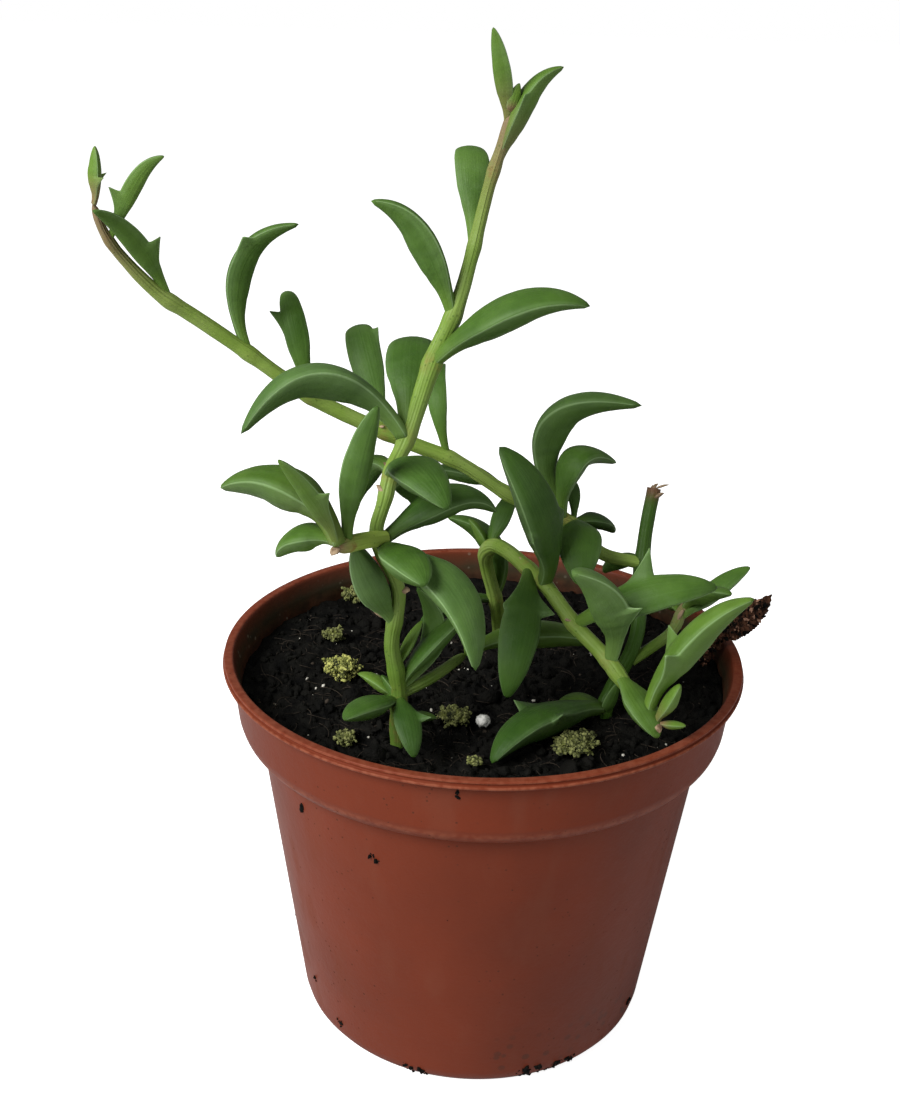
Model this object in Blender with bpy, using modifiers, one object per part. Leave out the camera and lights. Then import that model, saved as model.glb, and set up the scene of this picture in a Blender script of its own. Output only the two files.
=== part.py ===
"""A potted string of dolphins.

Three leafy stems stand in the soil of a small terracotta-coloured plastic pot.
Lengths are in metres. The origin is the middle of the pot's flat base, +Z is up and -Y is the front.
"""

import math
import random
from collections import namedtuple

import bmesh
import bpy
import numpy as np
from mathutils import Matrix, Vector

MM = 0.001

# Driving dimensions of the pot
POT_HEIGHT = 65.5 * MM
RIM_RADIUS = 42.5 * MM
BASE_RADIUS = 29.5 * MM
NECK_RADIUS = 36.8 * MM
COLLAR_DEPTH = 12.3 * MM
COLLAR_TAPER = 1.3 * MM
LIP_HEIGHT = 1.3 * MM
LIP_OVERHANG = 1.3 * MM
LIP_ROUNDING = 0.45 * MM
LIP_CHAMFER = 0.3 * MM
STEP_CHAMFER = 1.2 * MM
LEDGE_RISE = 1.2 * MM
POT_WALL = 1.0 * MM
BASE_ROUNDING = 3.0 * MM
POT_SEGMENTS = 48
SMALL_ROUND_SIDES = 12
DRAIN_COUNT = 8
DRAIN_RADIUS = 2.5 * MM
DRAIN_CIRCLE = 19.0 * MM

# Driving dimensions of the soil
SOIL_LEVEL = 60.0 * MM
SOIL_WAVE = 0.45 * MM
SOIL_RINGS = 6
# Each wave of the soil's relief: radians per metre along x and y, phase and share of SOIL_WAVE
SOIL_WAVES = ((210, 95, 0.4, 1.0), (-130, 240, 1.9, 1.0), (390, -170, 3.1, 0.7))
STEM_SOCKET_DEPTH = 13.0 * MM
GAP = 0.3 * MM

# Driving dimensions of stems and leaves
STEM_SPACING = 4.0 * MM
LEAF_WIDTH_START = 1.2 * MM
LEAF_WIDTH_RATE = 0.2
LEAF_HANDLE = 0.27
FLANK_BULGE = 0.62
FIN_REACH = 0.75
FIN_RISE_SPAN = 0.09
FIN_FALL_SPAN = 0.055
FIN_TILT = 40
FIN_SWEEP = 0.4

# The leaf's form along its length: place, half width, crown of the back and depth of the keel.
# The last three are shares of half the leaf's greatest width.
LEAF_FORM = (
    (0.00, 0.34, 0.30, 0.34),
    (0.14, 0.42, 0.30, 0.46),
    (0.30, 0.72, 0.32, 0.86),
    (0.44, 0.97, 0.34, 1.15),
    (0.55, 1.00, 0.34, 1.18),
    (0.70, 0.88, 0.30, 1.00),
    (0.85, 0.62, 0.24, 0.68),
    (0.95, 0.30, 0.14, 0.33),
    (1.00, 0.07, 0.05, 0.08),
)

# Places along a leaf without fins that have a cross-section
LEAF_STATIONS = (0, 0.14, 0.28, 0.42, 0.56, 0.72, 0.86, 0.95, 1)

# along: distance along the stem in mm.
# heading: compass direction in degrees, 0 to the right and 90 to the back.
# rise: degrees above the level.
# length in mm, from the stem to the tip.
# arch: how far the middle stands off the straight line to the tip, as a share of the length.
# roll: turn of the arch about that line, in degrees.
# plump: how thick the leaf is for its length.
# fins: size of the two fins, 1 for full ones and 0 for none.
# fins_at: how far along the leaf they stand, as a share of the length.
# fin_bias: 0 for a pair alike, towards 1 or -1 as one of the two shrinks away.
# skew: 0 for an even arch, towards 1 as the bend moves to the tip.
Leaf = namedtuple(
    "Leaf",
    "along heading rise length arch roll plump fins fins_at fin_bias skew",
    defaults=(0.16, 0, 1.0, 0, 0.46, 0, 0),
)

# Each point of a stem is x, y, z and diameter in mm
TALL_STEM = (
    (-13, -24, 48, 2.4), (-13, -24, 69, 2.4), (-14, -25, 78, 2.3), (-13, -27, 87, 2.0),
    (-15, -30, 94, 2.1), (-16, -31, 98, 2.0), (-15, -30, 102, 2.0), (-14, -28, 106, 2.1),
    (-12, -25, 110, 2.3), (-9, -21, 119, 2.6), (-6, -19, 126, 2.3), (-4, -17, 133, 1.9),
    (-2, -16, 142, 1.7), (0, -16, 149, 1.5), (1, -16, 153, 1.0),
)
TALL_STEM_LEAVES = (
    Leaf(15, 180, 74, 9.5, plump=0.9),
    Leaf(16, 16, 2, 6),
    Leaf(19.5, 165, 32, 7.5),
    Leaf(19.8, 233, 10, 12.5, 0.10, plump=1.2, skew=0.2),
    Leaf(20.5, 286, -25, 11, 0.15, plump=1.15, fins=1.3, fins_at=0.5, fin_bias=-1),
    Leaf(22, 40, 78, 16, 0.35, roll=180),
    Leaf(21.5, 20, 46, 17, 0.10, plump=0.9),
    Leaf(25, 40, 55, 8.5, 0.05, plump=0.7),
    Leaf(34, 236, 57, 17.8, 0.06, roll=90, plump=1.12),
    Leaf(47.5, 313, -29, 21.8, 0.30, plump=1.18, skew=0.3),
    Leaf(48.5, 294, 3, 15.5, 0.10, plump=1.4, skew=0.2),
    Leaf(49.5, 22, 8, 17.5, 0.26, roll=12, plump=1.2, skew=0.5),
    Leaf(57, 73, -29, 16, 0.20),
    Leaf(60, 114, -37, 21, 0.20),
    Leaf(59.5, 298, 3, 17, 0.20, roll=12, plump=1.35),
    Leaf(64.8, 200, 7, 23, 0.38, roll=10, plump=1.1, skew=0.2),
    Leaf(65.5, 89, 15, 20.5, 0.30, plump=1.4, skew=0.4),
    Leaf(76, 355, 23, 23, 0.18, roll=18, plump=1.05, skew=0.4),
    Leaf(83, 194, 54, 19.5, 0.17, roll=12, skew=0.5),
    Leaf(93, 96, 25, 17, 0.38, plump=1.05, skew=0.7),
    Leaf(103.5, 10, 56, 15.8, 0.14, plump=0.9, fins=0.5, fins_at=0.6, skew=0.6),
    Leaf(109, 216, 77, 13, 0.06, plump=0.77),
    Leaf(110, 330, 75, 5, 0.10),
)
ROSETTE_SHOOT = ((-15, -31, 97, 2.2), (-18, -35, 98, 2.3), (-21, -40, 99, 1.7))
ROSETTE_SHOOT_LEAVES = (
    Leaf(9, 158, -19, 10.5, 0.28, roll=-12, plump=1.45),
    Leaf(8, 308, 72, 22, 0.08, plump=0.78),
    Leaf(10, 162, 19, 18, 0.31, plump=1.5),
    Leaf(10.5, 228, 56, 17.5, 0.08, plump=0.65, fins=1.2, fins_at=0.52),
)
LOW_SHOOT = ((-13, -24, 69, 1.8), (-8, -20, 70, 1.8), (-3, -14, 71, 1.4))
LOW_SHOOT_LEAVES = (Leaf(14, 15, -1, 22),)

ARCHING_STEM = (
    (3, 14, 48, 2.3), (3, 14, 60, 2.3), (3, 13.6, 62.5, 2.3), (2, 9, 70, 2.3), (0, 5, 79, 2.3),
    (1, 1, 83, 2.4), (3, -3, 84, 2.4), (6, -7, 83, 2.3), (9, -12, 82, 2.3), (13.2, -17, 78, 2.3),
    (17.4, -21, 75, 2.3), (20.4, -24, 72, 2.2), (24.8, -29, 68, 1.5),
)
ARCHING_STEM_LEAVES = (
    Leaf(23, 205, -8, 14),
    Leaf(24, 188, 60, 17, 0.30, plump=1.1, fins=0.3),
    Leaf(35, 172, 62, 7),
    Leaf(36, 35, 56, 9),
    Leaf(38, 60, 45, 11, 0.10),
    Leaf(50, 257, -45, 21, 0.20, roll=-12, plump=1.12, fins=1.2, fins_at=0.38, fin_bias=-0.7),
    Leaf(54, 210, 69, 25, 0.17, roll=-68, plump=1.18, fins=0.9, fins_at=0.46, fin_bias=-0.7),
    Leaf(62.5, 355, 20, 22, roll=40, plump=1.05, fins=1.9, fins_at=0.56, fin_bias=-1, skew=0.2),
    Leaf(70.5, 229, 59, 21, 0.21, roll=-10, plump=1.25, fins=0.8, fin_bias=-0.6),
    Leaf(72.5, 306, -34, 11.5, 0.08, plump=1.4, skew=0.3),
    Leaf(80, 350, 56, 24, 0.14, plump=0.97, fins=1.5, fins_at=0.43, skew=0.2),
    Leaf(85.5, 350, 66, 7.5, 0.05, roll=12, plump=1.05),
    Leaf(87.5, 340, 8, 4.5, 0.05, plump=0.8),
)

RIGHT_TRUNK = (
    (19, -13, 48, 2.4), (19, -13, 60, 2.4), (20, -12, 64, 2.4), (23, -11, 71, 2.3), (24, -9, 75, 2.3),
    (24, -6, 79, 2.3), (24.5, -4, 83, 2.4), (25, -2, 88, 2.2), (26, 0, 94, 2.2),
)
RIGHT_TRUNK_LEAVES = (
    Leaf(13, 190, 12, 8, 0.20, plump=1.4),
    Leaf(11.5, 300, 67, 9.5, 0.06, roll=20, plump=0.8),
    Leaf(13.5, 223, -1, 25, 0.15, roll=10, plump=1.12, fins=0.9, fins_at=0.55, skew=0.4),
    Leaf(38, 121, -30, 11),
)
LONG_BRANCH = (
    (24, -4.3, 83, 2.0), (18, -3, 84, 2.1), (13, -2, 88.5, 2.1), (4, -2, 92.5, 2.1), (-5, -3, 98.5, 2.2),
    (-13, -4, 102, 2.3), (-25, -6, 108, 2.3), (-31, -8, 112.5, 2.2), (-36, -9, 116.5, 2.2),
    (-43, -11, 122, 2.2), (-48, -13, 126, 2.0), (-52, -15, 131, 1.6), (-54, -17, 135, 1.3),
    (-55, -18, 139, 1.2),
)
LONG_BRANCH_LEAVES = (
    Leaf(12.8, 48, -22, 12.5, roll=15, plump=0.9),
    Leaf(12.5, 95, 25, 11, 0.20, roll=12, plump=0.7),
    Leaf(14.5, 28, 40, 12.5, 0.62, roll=12, plump=1.4, skew=0.3),
    Leaf(12, 270, -17, 14, 0.25, plump=1.75),
    Leaf(14.2, 334, 61, 23.5, 0.46, plump=1.15, skew=0.1),
    Leaf(24.5, 154, 3, 14),
    Leaf(35.5, 95, 48, 16, 0.32, roll=-20, plump=0.7, skew=0.2),
    Leaf(46.2, 105, 27, 21, 0.31, roll=-16, plump=0.95, fins=0.5, fins_at=0.66, fin_bias=1, skew=0.7),
    Leaf(59.2, 112, 47, 17.5, 0.25, roll=-15, plump=0.78, fins=1.5, fins_at=0.62, fin_bias=-1, skew=0.8),
    Leaf(70.3, 343, 67, 21, 0.30, plump=0.85, fins=0.8, fins_at=0.73, skew=0.2),
    Leaf(84.2, 227, 50, 18, 0.14, roll=25, plump=0.75, fins=1.4, fins_at=0.44, skew=0.2),
    Leaf(96.5, 337, 51, 15.2, 0.12, roll=-20, plump=0.68, fins=1.6, fins_at=0.42, skew=0.6),
    Leaf(101.8, 0, 85, 7.8, 0.07, roll=188, plump=0.87, fins=1.6),
)
RIGHT_TWIG = ((23, -11, 69, 1.8), (29, -9, 73, 1.7), (31, -7, 76, 1.6), (33, -6, 78, 1.3))
RIGHT_TWIG_LEAVES = (
    Leaf(10, 15, 35, 14.2, 0.05, roll=18, plump=0.9, skew=0.6),
    Leaf(11, 108, -5, 7),
    Leaf(12, 309, 33, 11),
)

# Loose things on the soil: x, y, width and height in mm
MOSS_CRUMBS = (
    (-23, 28.5, 4.2, 2.5), (-25.7, 10.3, 3.4, 2.0), (-23.1, -3, 5.4, 3.2), (-21, -23.1, 3.0, 1.6),
    (-4.6, -15.4, 4.6, 2.6), (13.6, -24.8, 6.0, 1.9), (-1.5, -30, 2.2, 1.2),
)
PERLITE_BEAD = (0, -16.4, 2.4, 2.2)
CRUMB_ROUGHNESS = 0.14

# Middle line of the flake of bark that leans over the rim: x, y, z, width and thickness in mm
BARK_FLAKE = (
    (36.6, 3, 61.0, 2.2, 1.4), (37.0, 3, 64.0, 2.8, 1.8), (38.2, 3, 67.0, 3.2, 2.0),
    (40.6, 3, 68.6, 4.2, 2.0), (42.8, 3, 69.9, 4.6, 2.0), (44.8, 3, 71.9, 3.6, 1.8),
    (46.2, 3, 73.3, 1.6, 1.2), (47.3, 3, 74.8, 0.6, 0.6),
)
BARK_SIDES = 8

TERRACOTTA = (0.30, 0.08, 0.05)
PEAT = (0.012, 0.010, 0.008)
LEAF_GREEN = (0.07, 0.17, 0.05)
BARK_BROWN = (0.05, 0.03, 0.02)
MOSS_LIME = (0.30, 0.33, 0.08)
PERLITE_WHITE = (0.62, 0.60, 0.54)


def clear_scene():
    """Removes what a new file opens with."""
    for item in list(bpy.data.objects):
        bpy.data.objects.remove(item, do_unlink=True)


def new_collection(name):
    collection = bpy.data.collections.new(name)
    bpy.context.scene.collection.children.link(collection)
    return collection


def make_material(name, colour, roughness, metallic=0.0):
    material = bpy.data.materials.new(name)
    material.use_nodes = True
    shader = material.node_tree.nodes["Principled BSDF"]
    shader.inputs["Base Color"].default_value = (*colour, 1)
    shader.inputs["Roughness"].default_value = roughness
    shader.inputs["Metallic"].default_value = metallic
    material.diffuse_color = (*colour, 1)
    return material


def link_mesh(name, mesh, collection, material=None):
    item = bpy.data.objects.new(name, mesh)
    collection.objects.link(item)
    if material:
        mesh.materials.clear()
        mesh.materials.append(material)
    return item


def mesh_from_bmesh(name, bm):
    mesh = bpy.data.meshes.new(name)
    bmesh.ops.recalc_face_normals(bm, faces=bm.faces)
    bm.to_mesh(mesh)
    bm.free()
    return mesh


def evaluated_mesh(item):
    """A plain mesh of the object as its modifiers show it."""
    bpy.context.view_layer.update()
    graph = bpy.context.evaluated_depsgraph_get()
    return bpy.data.meshes.new_from_object(item.evaluated_get(graph), depsgraph=graph)


def apply_modifiers(item):
    mesh = evaluated_mesh(item)
    item.modifiers.clear()
    item.data = mesh
    return item


def turned(name, profile, collection, material):
    """A solid of revolution. The profile is (radius, height) pairs that run down the outer side."""
    mesh = bpy.data.meshes.new(name)
    points = [(radius, 0, height) for radius, height in profile]
    edges = [(i, i + 1) for i in range(len(points) - 1)]
    mesh.from_pydata(points, edges, [])
    item = link_mesh(name, mesh, collection, material)
    screw = item.modifiers.new("Turn", "SCREW")
    screw.axis = "Z"
    screw.steps = POT_SEGMENTS
    screw.render_steps = POT_SEGMENTS
    screw.use_merge_vertices = True
    screw.merge_threshold = 0.00001
    screw.use_smooth_shade = True
    return item


def round_cutter(name, radius, half_depth, place, cutters):
    """An upright cylinder that is cut out of a part."""
    bm = bmesh.new()
    bmesh.ops.create_cone(
        bm,
        cap_ends=True,
        segments=SMALL_ROUND_SIDES,
        radius1=radius,
        radius2=radius,
        depth=2 * half_depth,
    )
    cutter = link_mesh(name, mesh_from_bmesh(name, bm), cutters)
    cutter.location = place
    cutter.hide_render = True
    cutter.display_type = "WIRE"


def cut_with(item, cutters):
    cut = item.modifiers.new("Cut", "BOOLEAN")
    cut.operation = "DIFFERENCE"
    cut.operand_type = "COLLECTION"
    cut.collection = cutters
    cut.solver = "EXACT"


def arc(centre, radius, start, end, steps):
    """Points (radius, height) of an arc, with angles in degrees."""
    points = []
    for i in range(steps + 1):
        angle = math.radians(start + (end - start) * i / steps)
        points.append((centre[0] + radius * math.cos(angle), centre[1] + radius * math.sin(angle)))
    return points


def collar_radius(height):
    """Outer radius of the collar, which narrows from the lip to the step."""
    share = (POT_HEIGHT - height) / COLLAR_DEPTH
    return RIM_RADIUS - LIP_OVERHANG - COLLAR_TAPER * share


def body_radius(height):
    """Outer radius of the body under the collar."""
    return BASE_RADIUS + (NECK_RADIUS - BASE_RADIUS) * height / (POT_HEIGHT - COLLAR_DEPTH)


def pot_profile():
    step = POT_HEIGHT - COLLAR_DEPTH
    under_lip = POT_HEIGHT - LIP_HEIGHT
    ledge = step + LEDGE_RISE / 2
    inner_rim = collar_radius(POT_HEIGHT) - POT_WALL
    floor = POT_WALL
    inside = [
        (0, floor),
        (body_radius(floor) - BASE_ROUNDING, floor),
        (body_radius(BASE_ROUNDING) - POT_WALL, BASE_ROUNDING),
        (NECK_RADIUS - POT_WALL, ledge),
        (collar_radius(step) - POT_WALL, ledge + LEDGE_RISE),
        (inner_rim, POT_HEIGHT - LIP_CHAMFER),
    ]
    lip = [(inner_rim + LIP_CHAMFER, POT_HEIGHT)]
    lip += arc((RIM_RADIUS - LIP_ROUNDING, POT_HEIGHT - LIP_ROUNDING), LIP_ROUNDING, 90, 0, 2)
    lip += [(RIM_RADIUS, under_lip + LIP_CHAMFER), (RIM_RADIUS - LIP_CHAMFER, under_lip)]
    collar = [
        (collar_radius(under_lip), under_lip),
        (collar_radius(step), step + STEP_CHAMFER),
        (collar_radius(step) - STEP_CHAMFER, step),
    ]
    body = [(NECK_RADIUS, step)]
    centre = (body_radius(BASE_ROUNDING) - BASE_ROUNDING, BASE_ROUNDING)
    body += arc(centre, BASE_ROUNDING, 0, -90, 4)
    return inside + lip + collar + body + [(0, 0)]


def make_pot(collection, cutters):
    pot = turned("pot", pot_profile(), collection, make_material("terracotta plastic", TERRACOTTA, 0.45))
    for i in range(DRAIN_COUNT):
        angle = 2 * math.pi * i / DRAIN_COUNT
        place = (DRAIN_CIRCLE * math.cos(angle), DRAIN_CIRCLE * math.sin(angle), 0)
        round_cutter(f"drain_{i + 1}", DRAIN_RADIUS, BASE_ROUNDING, place, cutters)
    cut_with(pot, cutters)
    return pot


def soil_edge():
    """Radius of the soil's top."""
    return collar_radius(SOIL_LEVEL) - POT_WALL - GAP


def soil_height(x, y):
    """Height of the soil's lumpy top, which is level where it meets the pot."""
    relief = sum(share * math.sin(a * x + b * y + phase) for a, b, phase, share in SOIL_WAVES)
    fade = max(0.0, 1 - (math.hypot(x, y) / soil_edge()) ** 6)
    return SOIL_LEVEL + SOIL_WAVE * relief * fade


def soil_profile():
    ledge = POT_HEIGHT - COLLAR_DEPTH + LEDGE_RISE / 2
    wall = POT_WALL + GAP
    top = [(soil_edge() * i / SOIL_RINGS, SOIL_LEVEL) for i in range(SOIL_RINGS + 1)]
    side = [
        (collar_radius(ledge) - wall, ledge + LEDGE_RISE + GAP),
        (NECK_RADIUS - wall, ledge + GAP),
        (body_radius(BASE_ROUNDING) - wall, BASE_ROUNDING + GAP),
        (body_radius(POT_WALL) - BASE_ROUNDING - GAP, POT_WALL + GAP),
    ]
    return top + side + [(0, POT_WALL + GAP)]


def make_soil(collection, cutters, stem_feet):
    soil = turned("soil", soil_profile(), collection, make_material("peat soil", PEAT, 0.95))
    apply_modifiers(soil)
    for vertex in soil.data.vertices:
        if vertex.co.z > SOIL_LEVEL - GAP:
            vertex.co.z = soil_height(vertex.co.x, vertex.co.y)
    for i, (x, y, z, diameter) in enumerate(stem_feet):
        place = (x * MM, y * MM, z * MM - GAP + STEM_SOCKET_DEPTH)
        round_cutter(f"socket_{i + 1}", diameter * MM / 2 + GAP, STEM_SOCKET_DEPTH, place, cutters)
    cut_with(soil, cutters)
    return soil


def smooth_route(points):
    """Rows of x, y, z and diameter, in metres, on a smooth curve through the given ones."""
    rows = [np.array(point, dtype=float) * MM for point in points]
    rows = [2 * rows[0] - rows[1]] + rows + [2 * rows[-1] - rows[-2]]
    route = []
    for a, b, c, d in zip(rows, rows[1:], rows[2:], rows[3:]):
        steps = max(1, round(np.linalg.norm((c - b)[:3]) / STEM_SPACING))
        for i in range(steps):
            t = i / steps
            bend = (2 * a - 5 * b + 4 * c - d) * t**2 + (3 * b - a - 3 * c + d) * t**3
            route.append(b + 0.5 * ((c - a) * t + bend))
    route.append(rows[-2])
    return route


def point_along(route, distance):
    """The point at a distance from the start of a route."""
    left = distance
    for a, b in zip(route, route[1:]):
        step = np.linalg.norm((b - a)[:3])
        if left <= step:
            return Vector((a + (b - a) * left / step)[:3])
        left -= step
    return Vector(route[-1][:3])


def make_stem(name, route, collection):
    """A tube along the route, as a closed mesh."""
    curve = bpy.data.curves.new(name, "CURVE")
    curve.dimensions = "3D"
    curve.bevel_depth = MM
    curve.bevel_resolution = 2
    curve.use_fill_caps = True
    spline = curve.splines.new("POLY")
    spline.points.add(len(route) - 1)
    for point, (x, y, z, diameter) in zip(spline.points, route):
        point.co = (x, y, z, 1)
        point.radius = diameter / 2 / MM
    tube = bpy.data.objects.new(name, curve)
    collection.objects.link(tube)
    mesh = evaluated_mesh(tube)
    bpy.data.objects.remove(tube, do_unlink=True)
    bm = bmesh.new()
    bm.from_mesh(mesh)
    bmesh.ops.remove_doubles(bm, verts=bm.verts, dist=0.01 * MM)
    return link_mesh(name, mesh_from_bmesh(name, bm), collection)


def leaf_directions(leaf):
    """Unit vectors from root to tip, to one side, and to the side that the leaf arches towards."""
    heading = math.radians(leaf.heading)
    rise = math.radians(leaf.rise)
    chord = Vector((math.cos(heading) * math.cos(rise), math.sin(heading) * math.cos(rise), math.sin(rise)))
    over = Vector((-math.cos(heading) * math.sin(rise), -math.sin(heading) * math.sin(rise), math.cos(rise)))
    over = Matrix.Rotation(math.radians(leaf.roll), 3, chord) @ over
    return chord, chord.cross(over), over


def leaf_stations(leaf):
    """Places along the leaf that have a cross-section: closer together at the fins."""
    if not leaf.fins:
        return LEAF_STATIONS
    at_fins = [leaf.fins_at - FIN_RISE_SPAN, leaf.fins_at, leaf.fins_at + FIN_FALL_SPAN]
    clear = [place for place in LEAF_STATIONS if abs(place - leaf.fins_at) > 2 * FIN_FALL_SPAN]
    return sorted(clear + at_fins)


def leaf_rings(leaf, root):
    """The leaf's cross-sections: rings of two edges, the back, the keel and two points on the flanks."""
    chord, side, over = leaf_directions(leaf)
    length = leaf.length * MM
    half = leaf.plump * (LEAF_WIDTH_START + LEAF_WIDTH_RATE * length) / 2
    lift = over * (leaf.arch * length * 4 / 3)
    handles = (
        root,
        root + chord * (LEAF_HANDLE * length) + lift * (1 - leaf.skew),
        root + chord * ((1 - LEAF_HANDLE) * length) + lift * (1 + leaf.skew),
        root + chord * length,
    )
    places, widths, crowns, keels = zip(*LEAF_FORM)
    tilt = math.radians(FIN_TILT)
    rings = []
    for place in leaf_stations(leaf):
        rest = 1 - place
        centre = (
            handles[0] * rest**3
            + handles[1] * (3 * rest**2 * place)
            + handles[2] * (3 * rest * place**2)
            + handles[3] * place**3
        )
        forward = (
            (handles[1] - handles[0]) * rest**2
            + (handles[2] - handles[1]) * (2 * rest * place)
            + (handles[3] - handles[2]) * place**2
        ).normalized()
        up = side.cross(forward)
        width = half * np.interp(place, places, widths)
        crown = half * np.interp(place, places, crowns)
        keel = half * np.interp(place, places, keels)
        fin = half * FIN_REACH * leaf.fins if place == leaf.fins_at else 0
        near = fin * min(1, 1 + leaf.fin_bias)
        far = fin * min(1, 1 - leaf.fin_bias)
        lean = up * math.sin(tilt) + forward * FIN_SWEEP
        rings.append((
            centre + side * (width + near * math.cos(tilt)) + lean * near,
            centre + up * crown,
            centre - side * (width + far * math.cos(tilt)) + lean * far,
            centre - side * (FLANK_BULGE * width) - up * (FLANK_BULGE * keel),
            centre - up * keel,
            centre + side * (FLANK_BULGE * width) - up * (FLANK_BULGE * keel),
        ))
    return rings


def make_leaf(name, leaf, route, collection):
    """A fleshy leaf: a loft through its cross-sections, with its root in the stem."""
    bm = bmesh.new()
    rings = []
    for ring in leaf_rings(leaf, point_along(route, leaf.along * MM)):
        rings.append([bm.verts.new(point) for point in ring])
    for a, b in zip(rings, rings[1:]):
        for i in range(len(a)):
            j = (i + 1) % len(a)
            bm.faces.new((a[i], a[j], b[j], b[i]))
    bm.faces.new(rings[0])
    bm.faces.new(rings[-1])
    bmesh.ops.triangulate(bm, faces=bm.faces)
    return link_mesh(name, mesh_from_bmesh(name, bm), collection)


def make_plant(name, branches, collection, material):
    """One leafy stem with its side shoots, joined into one body."""
    pieces = new_collection(f"{name} pieces")
    trunk = None
    for number, (points, leaves) in enumerate(branches):
        route = smooth_route(points)
        stem = make_stem(f"{name} stem {number + 1}", route, pieces)
        trunk = trunk or stem
        for i, leaf in enumerate(leaves):
            make_leaf(f"{name} leaf {number + 1}.{i + 1}", leaf, route, pieces)
    pieces.objects.unlink(trunk)
    collection.objects.link(trunk)
    trunk.name = name
    join = trunk.modifiers.new("Join", "BOOLEAN")
    join.operation = "UNION"
    join.operand_type = "COLLECTION"
    join.collection = pieces
    join.solver = "EXACT"
    apply_modifiers(trunk)
    trunk.data.materials.clear()
    trunk.data.materials.append(material)
    for piece in list(pieces.objects):
        bpy.data.objects.remove(piece, do_unlink=True)
    bpy.data.collections.remove(pieces)
    return trunk


def make_crumb(name, place, seed, collection, material):
    """A small rough lump that lies on the soil. The place is x, y, width and height in mm."""
    draw = random.Random(seed)
    x, y, width, height = [value * MM for value in place]
    radius = width / 2
    bm = bmesh.new()
    bmesh.ops.create_icosphere(bm, subdivisions=2, radius=radius)
    for vertex in bm.verts:
        vertex.co *= 1 + draw.uniform(-CRUMB_ROUGHNESS, CRUMB_ROUGHNESS)
        vertex.co.z *= height / width
    lowest = min(vertex.co.z for vertex in bm.verts)
    crumb = link_mesh(name, mesh_from_bmesh(name, bm), collection, material)
    under = []
    for i in range(SMALL_ROUND_SIDES):
        angle = 2 * math.pi * i / SMALL_ROUND_SIDES
        under.append(soil_height(x + radius * math.cos(angle), y + radius * math.sin(angle)))
    crumb.location = (x, y, max(under) + GAP - lowest)
    return crumb


def make_bark_flake(collection):
    """A rough tapering flake that stands in the soil's edge and leans out over the rim."""
    draw = random.Random(5)
    bm = bmesh.new()
    rings = []
    points = [Vector(row[:3]) * MM for row in BARK_FLAKE]
    for i, (x, y, z, width, thickness) in enumerate(BARK_FLAKE):
        forward = (points[min(i + 1, len(points) - 1)] - points[max(i - 1, 0)]).normalized()
        back = Vector((0, 1, 0))
        across = forward.cross(back)
        ring = []
        for k in range(BARK_SIDES):
            angle = 2 * math.pi * k / BARK_SIDES
            rough = 1 + draw.uniform(-CRUMB_ROUGHNESS, CRUMB_ROUGHNESS)
            offset = across * (width * math.cos(angle)) + back * (thickness * math.sin(angle))
            ring.append(bm.verts.new(points[i] + offset * (rough * MM / 2)))
        rings.append(ring)
    for a, b in zip(rings, rings[1:]):
        for i in range(len(a)):
            j = (i + 1) % len(a)
            bm.faces.new((a[i], a[j], b[j], b[i]))
    bm.faces.new(rings[0])
    bm.faces.new(rings[-1])
    bmesh.ops.triangulate(bm, faces=bm.faces)
    mesh = mesh_from_bmesh("bark_flake", bm)
    return link_mesh("bark_flake", mesh, collection, make_material("bark", BARK_BROWN, 0.9))


def build():
    clear_scene()
    parts = new_collection("potted string of dolphins")
    drains = new_collection("drain cutters")
    sockets = new_collection("socket cutters")
    leaf_green = make_material("leaf green", LEAF_GREEN, 0.4)
    make_pot(parts, drains)
    make_soil(parts, sockets, (TALL_STEM[0], ARCHING_STEM[0], RIGHT_TRUNK[0]))
    tall = (
        (TALL_STEM, TALL_STEM_LEAVES),
        (ROSETTE_SHOOT, ROSETTE_SHOOT_LEAVES),
        (LOW_SHOOT, LOW_SHOOT_LEAVES),
    )
    make_plant("tall_stem", tall, parts, leaf_green)
    make_plant("arching_stem", ((ARCHING_STEM, ARCHING_STEM_LEAVES),), parts, leaf_green)
    right = (
        (RIGHT_TRUNK, RIGHT_TRUNK_LEAVES),
        (LONG_BRANCH, LONG_BRANCH_LEAVES),
        (RIGHT_TWIG, RIGHT_TWIG_LEAVES),
    )
    make_plant("branching_stem", right, parts, leaf_green)
    make_bark_flake(parts)
    moss = make_material("moss crumb", MOSS_LIME, 0.9)
    for i, place in enumerate(MOSS_CRUMBS):
        make_crumb(f"moss_crumb_{i + 1}", place, i, parts, moss)
    perlite = make_material("perlite", PERLITE_WHITE, 0.8)
    make_crumb("perlite_bead", PERLITE_BEAD, len(MOSS_CRUMBS), parts, perlite)


build()
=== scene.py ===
# %% [markdown]
# # A potted string of dolphins
# This lesson dresses a small trailing succulent in a terracotta-coloured nursery pot. Its solids are
# already packed as a fixed model, which gives each sub-part its place and its size. Here every visible
# surface gets its fine shape and its finish: fleshy leaves with fins, yellow-green stems, black peat,
# lime-coloured moss and a thin plastic pot. The first cell loads that model. Nothing in it is moved:
# a finer piece is made in the same place and then stands for the solid.

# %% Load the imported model
import math
import random
from collections import namedtuple

import bmesh
import bpy
import numpy as np
from mathutils import Matrix, Quaternion, Vector, noise


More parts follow.
